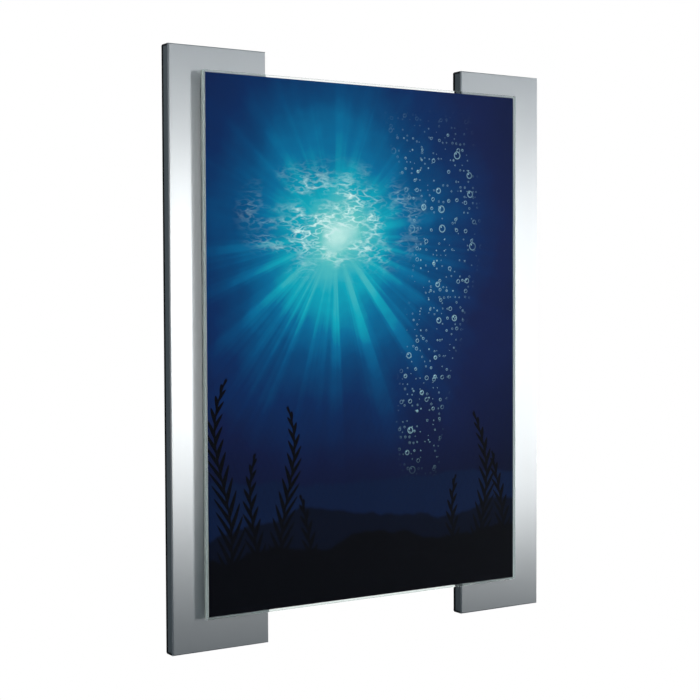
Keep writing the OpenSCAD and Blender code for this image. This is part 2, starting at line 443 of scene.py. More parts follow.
def mirrored(piece: Piece, name: str, axis: Axis) -> Piece:
    """Copies a piece to the other side of the frame's middle.

    Args:
        piece: The piece to copy.
        name: The copy's name.
        axis: The axis to mirror along.

    Returns:
        The mirrored copy, with its faces outwards.
    """
    twin = copied(piece, name, Vector())
    normal = Vector([float(axis == other) for other in Axis])
    twin.data.transform(Matrix.Scale(-1, 4, normal))
    point_outwards(twin)
    return twin


def spread(piece: Piece, *steps: tuple[str, str, Vector | Axis]) -> list[Piece]:
    """Copies a piece to all its places: each step doubles what there is so far.

    Args:
        piece: The piece to copy.
        steps: A word in the names, the word for it in the copies' names, and how far the copies
            move or the axis that they are mirrored along.

    Returns:
        The piece and all its copies.
    """
    pieces = [piece]
    for old, new, change in steps:
        for one in list(pieces):
            name = one.name.replace(old, new)
            pieces.append(mirrored(one, name, change) if isinstance(change, Axis)
                          else copied(one, name, change))
    return pieces


# Steps of spread: from the right side to the left one, and from the top to the bottom
TO_LEFT = ("right", "left", Axis.X)
TO_BOTTOM = ("top", "bottom", Axis.Z)


def smooth(piece: Piece) -> None:
    """Shades roundings smooth and keeps the flat faces beside them flat.

    Args:
        piece: The piece to shade.
    """
    activate(piece)
    bpy.ops.object.shade_smooth_by_angle(angle=CREASE)
    apply_modifier(piece, "WEIGHTED_NORMAL", keep_sharp=True)


def hand_over(piece: Piece, body: Body, node: str, slot: str, *materials: Material) -> None:
    """Smooths, dresses and places a finished piece on its body, in the stead of its CAD node.

    Args:
        piece: The finished piece.
        body: The CAD body that it moves with.
        node: The CAD node that it stands for.
        slot: The record's material slot of its finish; it is not used.
        materials: Its materials, in the order of its material slots.
    """
    smooth(piece)
    for material in materials:
        piece.data.materials.append(material)
    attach(piece, body.value)
    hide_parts(node)
    log.info("%s: %d faces, on %s", piece.name, len(piece.data.polygons), body.value)


# Finishes

class Value:
    """Number, vector or colour in a node tree, with sums written as in plain arithmetic."""

    def __init__(self, graph: "Graph", socket: bpy.types.NodeSocket) -> None:
        """Keeps an output with the graph that it belongs to."""
        self.graph, self.socket = graph, socket

    def __add__(self, other: object) -> "Value":
        """Returns the sum."""
        return self.graph.math("ADD", self, other)

    def __sub__(self, other: object) -> "Value":
        """Returns the difference."""
        return self.graph.math("SUBTRACT", self, other)

    def __rsub__(self, other: float) -> "Value":
        """Returns what it leaves of a plain number."""
        return self.graph.math("SUBTRACT", other, self)

    def __mul__(self, other: object) -> "Value":
        """Returns the product."""
        return self.graph.math("MULTIPLY", self, other)

    def __truediv__(self, other: object) -> "Value":
        """Returns the quotient."""
        return self.graph.math("DIVIDE", self, other)

    def __abs__(self) -> "Value":
        """Returns the number without its sign."""
        return self.graph.math("ABSOLUTE", self)


class Graph:
    """Node tree of a material or the surround, with short calls for the nodes that they share."""

    def __init__(self, name: str, surround: bool = False) -> None:
        """Makes an empty material or surround.

        Args:
            name: Its name.
            surround: Whether it is the scene's surround.
        """
        self.owner = bpy.data.worlds.new(name) if surround else bpy.data.materials.new(name)
        self.owner.use_nodes = True
        self.tree = self.owner.node_tree
        self.tree.nodes.clear()
        self.output = self.add("OutputWorld" if surround else "OutputMaterial")

    def add(self, kind: str, inputs: Inputs | None = None, **settings: object) -> bpy.types.Node:
        """Adds a node, sets its properties and feeds its inputs.

        Args:
            kind: The node's kind.
            inputs: What each input is fed with, by its name or place.
            settings: Its properties.

        Returns:
            The node.
        """
        node = self.tree.nodes.new(f"ShaderNode{kind}")
        for name, value in settings.items():
            setattr(node, name, value)
        for key, value in (inputs or {}).items():
            self.feed(node.inputs[key], value)
        return node

    def feed(self, socket: bpy.types.NodeSocket, value: object) -> None:
        """Links an input to a value or a shader of the graph, or sets the input's own value.

        Args:
            socket: The input.
            value: A value, a shader, a number, a vector or a colour.
        """
        if isinstance(value, Value):
            self.tree.links.new(value.socket, socket)
        elif isinstance(value, bpy.types.Node):
            self.tree.links.new(value.outputs[0], socket)
        else:
            socket.default_value = (*value, 1) if socket.type == "RGBA" else value

    def value(self, kind: str, inputs: Inputs | None = None, output: int = 0,
              **settings: object) -> Value:
        """Adds a node for the sake of one of its outputs.

        Args:
            kind: The node's kind.
            inputs: What each input is fed with, by its name or place.
            output: The output's place.
            settings: The node's properties.

        Returns:
            The output's value.
        """
        return Value(self, self.add(kind, inputs, **settings).outputs[output])

    def math(self, operation: str, *values: object) -> Value:
        """Returns a sum or comparison of values and numbers."""
        return self.value("Math", dict(enumerate(values)), operation=operation)

    def step(self, value: Value, low: float, high: float) -> Value:
        """Returns a smooth step, from zero where the value is low to one where it is high."""
        return self.value("MapRange", {"Value": value, "From Min": low, "From Max": high},
                          interpolation_type="SMOOTHSTEP")

    def about(self, mean: float, pattern: Value, spread: float) -> Value:
        """Returns a number that follows a pattern, half a spread either way from its mean."""
        return pattern * spread + (mean - spread / 2)

    def lerp(self, share: object, first: object, second: object) -> Value:
        """Returns the number at a share of the way from the first to the second."""
        return self.value("Mix", {0: share, 2: first, 3: second})

    def mix(self, share: Value, first: object, second: object) -> Value:
        """Returns the colour at a share of the way from the first to the second."""
        return self.value("Mix", {0: share, 6: first, 7: second}, output=2, data_type="RGBA")

    def parts(self, vector: object, kind: str = "XYZ") -> list[Value]:
        """Returns the three numbers of a vector, or of a colour where the kind is Color."""
        return [Value(self, socket) for socket in self.add(f"Separate{kind}", {0: vector}).outputs]

    def rays(self) -> dict[str, Value]:
        """Returns what is known of the ray that meets the surface, by name."""
        return {socket.name: Value(self, socket) for socket in self.add("LightPath").outputs}

    def place(self, centre: Sequence[float] = (0, 0, 0), grain: Sequence[float] = (1, 1, 1)) -> Value:
        """Finds each point's object coordinates from a centre, counted in grains.

        Args:
            centre: The point that becomes zero.
            grain: The length along each axis that becomes one.

        Returns:
            The coordinates.
        """
        found = Value(self, self.add("TexCoord").outputs["Object"])
        return self.value("Mapping", {"Vector": found, "Location": centre, "Scale": grain},
                          vector_type="TEXTURE")

    def noise(self, grain: float | Grain, detail: float = 2, roughness: float = 0.5,
              centre: Sequence[float] = (0, 0, 0)) -> Value:
        """Adds even noise.

        Args:
            grain: Size of its grains, or their size along each axis.
            detail: How many finer layers it has.
            roughness: How strong these are.
            centre: The point that it is counted from.

        Returns:
            A value from zero to one.
        """
        place = self.place(centre, grain if isinstance(grain, tuple) else (grain,) * 3)
        return self.value("TexNoise", {"Vector": place, "Scale": 1, "Detail": detail,
                                       "Roughness": roughness})

    def ripple(self, along: Value, scale: float, detail: float) -> Value:
        """Returns noise that varies along one number alone."""
        return self.value("TexNoise", {"W": along, "Scale": scale, "Detail": detail},
                          noise_dimensions="1D")

    def ramp(self, value: Value, stops: Sequence[tuple[float, Colour]]) -> Value:
        """Finds the colour at a value between stops.

        Args:
            value: The value to look up.
            stops: Place and colour of each stop, in rising order.

        Returns:
            The colour.
        """
        node = self.add("ValToRGB", {"Fac": value})
        elements = node.color_ramp.elements
        while len(elements) < len(stops):
            elements.new(1)
        for element, (position, colour) in zip(elements, stops, strict=True):
            element.position, element.color = position, (*colour, 1)
        return Value(self, node.outputs["Color"])

    def bump(self, height: Value, depth: float) -> Value:
        """Returns the normal of a surface on which a height of one stands this far proud."""
        return self.value("Bump", {"Height": height, "Distance": depth, "Strength": 1})

    def principled(self, **values: object) -> bpy.types.Node:
        """Returns a Principled shader; its inputs are named with underscores for spaces."""
        return self.add("BsdfPrincipled", {name.replace("_", " "): value for name, value in values.items()})

    def finish(self, shader: bpy.types.Node) -> Material | bpy.types.World:
        """Links a shader to the output and returns the finished material or surround."""
        self.feed(self.output.inputs["Surface"], shader)
        return self.owner


@dataclass(frozen=True)
class SatinAluminium:
    """Satin anodised plate with very fine upright brushing."""

    colour: Colour = (0.80, 0.85, 0.885)
    shade: Colour = (0.75, 0.80, 0.84)
    metal_share: float = 0.93
    roughness: float = 0.45
    stretch: float = 1.0
    streak: Grain = (0.0005, 0.0005, 0.16)
    cloud: Grain = (0.05, 0.05, 0.4)
    streak_depth: float = 0.0000025
    cloud_share: float = 0.3
    spread: float = 0.10

    def material(self) -> Material:
        """Makes the finish.

        Returns:
            The material.
        """
        graph = Graph("satin_aluminium")
        streaks, clouds = graph.noise(self.streak, 3), graph.noise(self.cloud, 1)
        tone = graph.lerp(self.cloud_share, streaks, clouds)
        return graph.finish(graph.principled(
            Base_Color=graph.mix(tone, self.shade, self.colour), Metallic=self.metal_share,
            Roughness=graph.about(self.roughness, streaks, self.spread), Anisotropic=self.stretch,
            Tangent=graph.value("Tangent", direction_type="RADIAL", axis="Z"),
            Normal=graph.bump(streaks, self.streak_depth)))


@dataclass(frozen=True)
class Grained:
    """Paint, plastic or rubber with a fine even grain."""

    name: str
    colour: Colour
    fleck: Colour
    grain: float
    depth: float
    roughness: float
    gloss: float = 0.5
    cloud: float = 0.03
    cloud_share: float = 0.4
    spread: float = 0.12

    def material(self) -> Material:
        """Makes the finish.

        Returns:
            The material.
        """
        graph = Graph(self.name)
        grain, clouds = graph.noise(self.grain, 2, 0.6), graph.noise(self.cloud, 3)
        tone = graph.lerp(self.cloud_share, grain, clouds)
        return graph.finish(graph.principled(
            Base_Color=graph.mix(tone, self.colour, self.fleck),
            Roughness=graph.about(self.roughness, clouds, self.spread), Specular_IOR_Level=self.gloss,
            Normal=graph.bump(grain, self.depth)))


class Mill(Enum):
    """How a steel surface was made."""

    TURNED = "turned"
    PLATED = "plated"
    GALVANISED = "galvanised"


@dataclass(frozen=True)
class Steel:
    """Bare or zinc-coated steel of the fixings."""

    name: str
    mill: Mill
    colour: Colour
    shade: Colour
    roughness: float
    ring: Grain = (0.004, 0.00012, 0.004)
    speck: float = 0.0012
    crystal: float = 0.0035
    depth: float = 0.00001
    spread: float = 0.15

    def pattern(self, graph: Graph) -> Value:
        """Draws the marks that the mill leaves.

        Args:
            graph: The material's graph.

        Returns:
            The pattern, from zero to one.
        """
        if self.mill is Mill.TURNED:
            return graph.noise(self.ring)
        if self.mill is Mill.PLATED:
            return graph.noise(self.speck, 4)
        crystals = graph.add("TexVoronoi", {"Vector": graph.place(grain=(self.crystal,) * 3)})
        return graph.parts(Value(graph, crystals.outputs["Color"]), "Color")[0]

    def material(self) -> Material:
        """Makes the finish.

        Returns:
            The material.
        """
        graph = Graph(self.name)
        pattern = self.pattern(graph)
        return graph.finish(graph.principled(
            Base_Color=graph.mix(pattern, self.shade, self.colour), Metallic=1.0,
            Roughness=graph.about(self.roughness, pattern, self.spread),
            Normal=graph.bump(pattern, self.depth)))


@dataclass(frozen=True)
class ClearAcrylic:
    """Polished faces of a cast clear sheet."""

    name: str
    tint: Colour = (0.985, 1.0, 0.995)
    glare: Colour = (0.25, 0.25, 0.25)
    index: float = 1.49
    wave: float = 0.05
    wave_depth: float = 0.00002

    def material(self) -> Material:
        """Makes the finish, through which lamplight passes straight to what lies behind.

        Returns:
            The material.
        """
        graph = Graph(self.name)
        ray = graph.rays()
        clear = graph.principled(
            Base_Color=self.tint, Roughness=0.0, IOR=self.index, Transmission_Weight=1.0,
            Specular_Tint=self.glare, Normal=graph.bump(graph.noise(self.wave, 1), self.wave_depth))
        lamplight = graph.math("MAXIMUM", ray["Is Shadow Ray"], ray["Is Diffuse Ray"])
        open_way = graph.add("BsdfTransparent", {"Color": self.tint})
        return graph.finish(graph.add("MixShader", {0: lamplight, 1: clear, 2: open_way}))


@dataclass(frozen=True)
class AcrylicEdge:
    """Sawn and polished edge of a clear sheet, which glows pale green."""

    name: str
    colour: Colour
    deep: Colour
    roughness: float
    clearness: float
    index: float = 1.49
    stroke: Grain = (0.0011, 0.02, 0.0011)
    stroke_depth: float = 0.000004
    cloud: float = 0.12
    cloud_share: float = 0.65
    spread: float = 0.1

    def material(self) -> Material:
        """Makes the finish.

        Returns:
            The material.
        """
        graph = Graph(self.name)
        strokes = graph.noise(self.stroke)
        tone = graph.lerp(self.cloud_share, strokes, graph.noise(self.cloud))
        return graph.finish(graph.principled(
            Base_Color=graph.mix(tone, self.deep, self.colour),
            Roughness=graph.about(self.roughness, strokes, self.spread),
            Transmission_Weight=self.clearness, IOR=self.index,
            Normal=graph.bump(strokes, self.stroke_depth)))


@dataclass(frozen=True)
class BondStrip:
    """Adhesive strip, clear or milky, with a few trapped specks of air."""

    name: str
    clearness: float
    colour: Colour = (0.90, 0.955, 0.94)
    speck: Colour = (0.97, 0.985, 0.98)
    speck_size: float = 0.0009
    speck_depth: float = 0.000005
    speck_edge: Fade = (0.55, 0.7)
    roughness: float = 0.02
    index: float = 1.45

    def material(self) -> Material:
        """Makes the finish.

        Returns:
            The material.
        """
        graph = Graph(self.name)
        specks = graph.step(graph.noise(self.speck_size, 3), *self.speck_edge)
        return graph.finish(graph.principled(
            Base_Color=graph.mix(specks, self.colour, self.speck), Roughness=self.roughness,
            Transmission_Weight=self.clearness, IOR=self.index,
            Normal=graph.bump(specks, self.speck_depth)))


@dataclass(frozen=True)
class PosterPaper:
    """Unprinted back and cut edges of the poster's paper."""

    colour: Colour = (0.86, 0.87, 0.86)
    fibre: Colour = (0.80, 0.81, 0.80)
    fibre_size: Grain = (0.0016, 0.0016, 0.0005)
    fibre_depth: float = 0.00001
    roughness: float = 0.85
    gloss: float = 0.25

    def material(self) -> Material:
        """Makes the finish.

        Returns:
            The material.
        """
        graph = Graph("poster_paper")
        fibres = graph.noise(self.fibre_size, 4)
        return graph.finish(graph.principled(
            Base_Color=graph.mix(fibres, self.fibre, self.colour), Roughness=self.roughness,
            Specular_IOR_Level=self.gloss, Normal=graph.bump(fibres, self.fibre_depth)))


@dataclass(frozen=True)
class Frond:
    """One waving leafy stem at the foot of the print, in metres on the paper."""

    root: float
    tip: float
    sway: float
    phase: float
    width: float


@dataclass(frozen=True)
class Hill:
    """One dark hill of the sea floor, in metres on the paper."""

    crest: float
    swell: float
    pitch: float
    shift: float
    tone: Colour


@dataclass
class DeepWaterPrint:
    """Generic print: light from the surface, rising bubbles, hills and waving stems.

    Places on the paper are measured from its middle, to the right and upwards. A fade holds where
    something is gone and where it is whole.
    """

    middle: tuple[float, float, float]
    height: float
    glow: tuple[float, float] = (-0.055, 0.145)
    bubbles: float = 0.105
    fronds: tuple[Frond, ...] = (
        Frond(-0.222, 0.31, 0.024, 0.4, 0.025),
        Frond(-0.176, 0.21, 0.018, 2.1, 0.020),
        Frond(-0.138, 0.27, 0.022, 4.0, 0.023),
        Frond(-0.101, 0.15, 0.014, 1.2, 0.018),
        Frond(0.148, 0.16, 0.015, 3.1, 0.018),
        Frond(0.188, 0.25, 0.022, 5.2, 0.023),
        Frond(0.227, 0.19, 0.016, 0.9, 0.020),
    )
    hills: tuple[Hill, ...] = (
        Hill(-0.185, 0.085, 3.5, 0.7, (0.0030, 0.011, 0.045)),
        Hill(-0.235, 0.070, 5.5, 2.9, (0.0014, 0.0038, 0.014)),
        Hill(-0.270, 0.060, 8.0, 5.3, (0.0008, 0.0012, 0.0035)),
    )
    depths: tuple[tuple[float, Colour], ...] = (  # distance from the glow, and the water's colour
        (0.00, (0.60, 0.95, 0.90)), (0.030, (0.13, 0.63, 0.63)), (0.070, (0.004, 0.43, 0.56)),
        (0.120, (0.001, 0.170, 0.37)), (0.175, (0.001, 0.072, 0.215)), (0.24, (0.003, 0.028, 0.125)),
        (0.32, (0.006, 0.014, 0.074)), (0.50, (0.003, 0.006, 0.032)))
    glow_squeeze: float = 1.15
    haze_size: Grain = (0.11, 1, 0.11)
    haze_reach: float = 0.13
    foot_tone: Colour = (0.0020, 0.0035, 0.012)
    foot_fade: Fade = (-0.40, 0.02)
    ray_pitch: float = 5.5
    ray_edge: Fade = (0.40, 0.68)
    ray_turn: Fade = (0.05, -0.06)
    ray_faint: float = 0.35
    ray_start: Fade = (0.03, 0.12)
    ray_end: Fade = (0.44, 0.15)
    ray_reach: float = 0.045
    ripple_tone: Colour = (0.75, 1.0, 0.98)
    ripple_rise: float = 0.02
    ripple_squeeze: tuple[float, float] = (0.8, 1.5)
    ripple_fade: Fade = (0.135, 0.01)
    threads: tuple[tuple[float, float, float], ...] = (  # size, shift and strength
        (0.034, 0.0, 1.0), (0.019, 0.37, 0.6))
    thread_squeeze: float = 0.42
    thread_width: float = 0.16
    thread_fall: float = 2.2
    patch_size: Grain = (0.06, 1, 0.035)
    patch_edge: Fade = (0.40, 0.62)
    bubble_tone: Colour = (0.55, 0.90, 0.93)
    bubble_layers: tuple[tuple[float, float, float], ...] = (  # cell, share and shift
        (0.026, 0.36, 3.0), (0.014, 0.40, 11.0), (0.0075, 0.36, 23.0))
    bubble_stray: float = 0.8
    bubble_radii: tuple[float, float] = (0.06, 0.22)
    rim_outside: Fade = (-0.02, 0.01)
    rim_inside: Fade = (0.07, 0.01)
    rim_light: float = 0.5
    spark_place: tuple[float, float] = (-0.35, 0.40)
    spark_edge: Fade = (0.05, 0.01)
    column_half: float = 0.055
    column_flare: float = 0.09
    column_waves: float = 11.0
    column_sway: float = 0.022
    column_edge: Fade = (1.0, 0.55)
    column_foot: Fade = (-0.20, -0.12)
    column_top: Fade = (0.33, 0.25)
    hill_edge: Fade = (-0.002, 0.004)
    stem_waves: float = 19.0
    tip_edge: Fade = (1.0, 0.985)
    tip_width: float = 0.0001
    leaf_pitch: float = 0.019
    leaf_rise: float = 1.8
    leaf_stagger: float = 0.25
    leaf_half: float = 0.34
    leaf_taper: float = 0.45
    leaf_edge: Fade = (-0.02, 0.02)
    stem_edge: Fade = (0.00192, 0.00072)
    leaf_tone: Colour = (0.0008, 0.0013, 0.0035)
    grain: float = 0.0006
    grain_depth: float = 0.000004
    roughness: float = 0.55
    spread: float = 0.1
    gloss: float = 0.03

    def __post_init__(self) -> None:
        """Starts the graph and finds each point's place on the paper."""
        self.graph = Graph("poster_print")
        self.across, _, self.up = self.graph.parts(self.graph.place(self.middle))
        self.aside, self.above = self.across - self.glow[0], self.up - self.glow[1]
        self.from_foot = self.up + self.height / 2

    def reach(self, across: Value, up: Value) -> Value:
        """Returns the length of a way across and up."""
        return self.graph.math("SQRT", across * across + up * up)

    def water(self) -> Value:
        """Paints the water, brightest round the glow and dark towards the foot.

        Returns:
            The water's colour.
        """
        graph, above = self.graph, self.above
        haze = graph.noise(self.haze_size, 4, 0.55, self.middle)
        reach = self.reach(self.aside * self.glow_squeeze, above) + (haze - 0.5) * self.haze_reach
        turn = graph.math("ARCTAN2", self.aside, above)
        rays = graph.step(graph.ripple(turn, self.ray_pitch, 3), *self.ray_edge)
        rays = rays * graph.lerp(graph.step(above, *self.ray_turn), self.ray_faint, 1.0)
        fall = graph.step(reach, *self.ray_start) * graph.step(reach, *self.ray_end)
        water = graph.ramp(reach - rays * fall * self.ray_reach, self.depths)
        return graph.mix(graph.step(self.up, *self.foot_fade), self.foot_tone, water)

    def ripples(self) -> Value:
        """Draws the bright threads of the rippling surface round the glow.

        Returns:
            The brightness, from zero to one.
        """
        graph, light = self.graph, 0.0
        for size, shift, strength in self.threads:
            centre = (self.middle[0] + shift, *self.middle[1:])
            swell = graph.noise((size, 1, size * self.thread_squeeze), 2.5, 0.45, centre)
            thread = graph.step(abs(swell * 2.0 - 1.0), self.thread_width, 0.0)
            light = graph.math("POWER", thread, self.thread_fall) * strength + light
        patches = graph.step(graph.noise(self.patch_size, centre=self.middle), *self.patch_edge)
        across, up = self.ripple_squeeze
        reach = self.reach(self.aside * across, (self.above - self.ripple_rise) * up)
        fall = graph.step(reach, *self.ripple_fade)
        return graph.math("MINIMUM", light * patches * fall, 1.0)

    def bubble_layer(self, cell: float, share: float, shift: float) -> Value:
        """Draws bubbles of one size.

        Args:
            cell: Distance between neighbouring bubbles.
            share: Share of the cells that hold a bubble.
            shift: Offset that sets this layer apart from the others.

        Returns:
            The brightness, from zero to one.
        """
        graph = self.graph
        place = graph.value("CombineXYZ", {0: self.across * (1 / cell) + shift,
                                           1: self.up * (1 / cell) + shift})
        cells = graph.add("TexVoronoi", {"Vector": place, "Scale": 1.0, "Randomness": self.bubble_stray},
                          voronoi_dimensions="2D")
        distance, colour, centre = (Value(graph, cells.outputs[name])
                                    for name in ("Distance", "Color", "Position"))
        size, chance, _ = graph.parts(colour, "Color")
        radius = graph.lerp(size, *self.bubble_radii)
        inside = radius - distance
        rim = graph.step(inside, *self.rim_outside) * graph.step(inside, *self.rim_inside)
        across, up, _ = graph.parts(graph.value("VectorMath", {0: place, 1: centre}, operation="SUBTRACT"))
        spark = graph.step(self.reach(across - radius * self.spark_place[0],
                                      up - radius * self.spark_place[1]), *self.spark_edge)
        light = graph.math("MAXIMUM", rim * self.rim_light, spark)
        return light * graph.math("LESS_THAN", chance, share)

    def bubble_column(self) -> Value:
        """Draws rising bubbles of three sizes in a wavering column.

        Returns:
            The brightness, from zero to one.
        """
        graph, up = self.graph, self.up
        sway = graph.math("SINE", up * self.column_waves) * self.column_sway
        aside = abs(self.across - self.bubbles - sway)
        inside = graph.step(aside / (up * self.column_flare + self.column_half), *self.column_edge)
        rise = graph.step(up, *self.column_foot) * graph.step(up, *self.column_top)
        light = 0.0
        for cell, share, shift in self.bubble_layers:
            light = graph.math("MAXIMUM", light, self.bubble_layer(cell, share, shift))
        return light * inside * rise

    def cover(self, hill: Hill) -> Value:
        """Draws a hill of the sea floor.

        Args:
            hill: Its mean height, its outline's rise and fall, how often it does so, and its tone.

        Returns:
            The share that the hill covers.
        """
        outline = self.graph.ripple(self.across + hill.shift, hill.pitch, 5)
        top = self.graph.about(hill.crest, outline, hill.swell)
        return self.graph.step(top - self.up, *self.hill_edge)

    def frond(self, stem: Frond) -> Value:
        """Draws one stem and its rising leaves.

        Args:
            stem: The stem's root, tip, sway and leaf width.

        Returns:
            The share that the stem covers.
        """
        graph = self.graph
        climb = self.from_foot * (1 / stem.tip)
        swing = graph.math("SINE", self.from_foot * self.stem_waves + stem.phase)
        aside = self.across - stem.root - swing * stem.sway * climb
        out = abs(aside)
        taper = graph.math("SQRT", graph.math("MAXIMUM", 1.0 - climb, 0.0))
        reach = out / (taper * stem.width + self.tip_width)
        turn = graph.math("SIGN", aside) * self.leaf_stagger + stem.phase
        beat = (self.from_foot - out * self.leaf_rise) * (1 / self.leaf_pitch) + turn
        gap = abs(graph.math("FRACT", beat) - 0.5)
        room = graph.math("POWER", graph.math("MAXIMUM", 1.0 - reach, 0.0), self.leaf_taper)
        leaf = graph.step(room * self.leaf_half - gap, *self.leaf_edge)
        core = graph.step(out, *self.stem_edge)
        return graph.math("MAXIMUM", leaf, core) * graph.step(climb, *self.tip_edge)

    def material(self) -> Material:
        """Makes the finish.

        Returns:
            The material.
        """
        graph = self.graph
        colour = graph.mix(self.ripples(), self.water(), self.ripple_tone)
        colour = graph.mix(self.bubble_column(), colour, self.bubble_tone)
        for hill in self.hills:
            colour = graph.mix(self.cover(hill), colour, hill.tone)
        for stem in self.fronds:
            colour = graph.mix(self.frond(stem), colour, self.leaf_tone)
        grain = graph.noise(self.grain)
        return graph.finish(graph.principled(
            Base_Color=colour, Roughness=graph.about(self.roughness, grain, self.spread),
            Specular_IOR_Level=self.gloss, Normal=graph.bump(grain, self.grain_depth)))


# Sub-assemblies

def threaded(core: float, crest: float, start: float, end: float, pitch: float) -> Steps:
    """Returns the profile of a screw thread as ridges.

    Args:
        core: Radius in the thread's valleys.
        crest: Radius on its ridges.
        start: Height where it starts.
        end: Height where it ends.
        pitch: Distance between ridges.

    Returns:
        Radius and height of each step.
    """
    turns = int((end - start) / pitch)
    steps = [(core, start)]
    for turn_number in range(turns):
        foot = start + turn_number * pitch
        steps += [(crest, foot + pitch * share) for share in RIDGE] + [(core, foot + pitch)]
    return steps


def cross_recess(piece: Piece, centre: Vector, inwards: Vector, reach: float, depth: float) -> None:
    """Cuts a cross-shaped drive recess into a screw's head.

    Args:
        piece: The screw.
        centre: The middle of the head's face.
        inwards: Direction into the head.
        reach: Length of each arm from the middle.
        depth: Depth of the recess.
    """
    arm_share, taper = 0.30, 0.45
    arm = reach * arm_share
    for angle in (0, math.pi / 2):
        low = Vector((-reach, -arm, -OVERRUN))
        high = Vector((reach, arm, depth))
        blade = add_block("blade", low, high)
        with edit_mode(blade):
            pick(blade, "FACE", lies_on(Axis.Z, depth))
            bpy.ops.transform.resize(value=(taper, taper, 1), center_override=(0, 0, depth))
        blade.data.transform(aimed(centre, inwards) @ Matrix.Rotation(angle, 4, "Z"))
        combine(piece, blade)


def arc(steps: int, sweep: float = math.pi / 2) -> Steps:
    """Returns the cosine and sine at even steps along an arc, with both its ends."""
    angles = [number / steps * sweep for number in range(steps + 1)]
    return [(math.cos(angle), math.sin(angle)) for angle in angles]


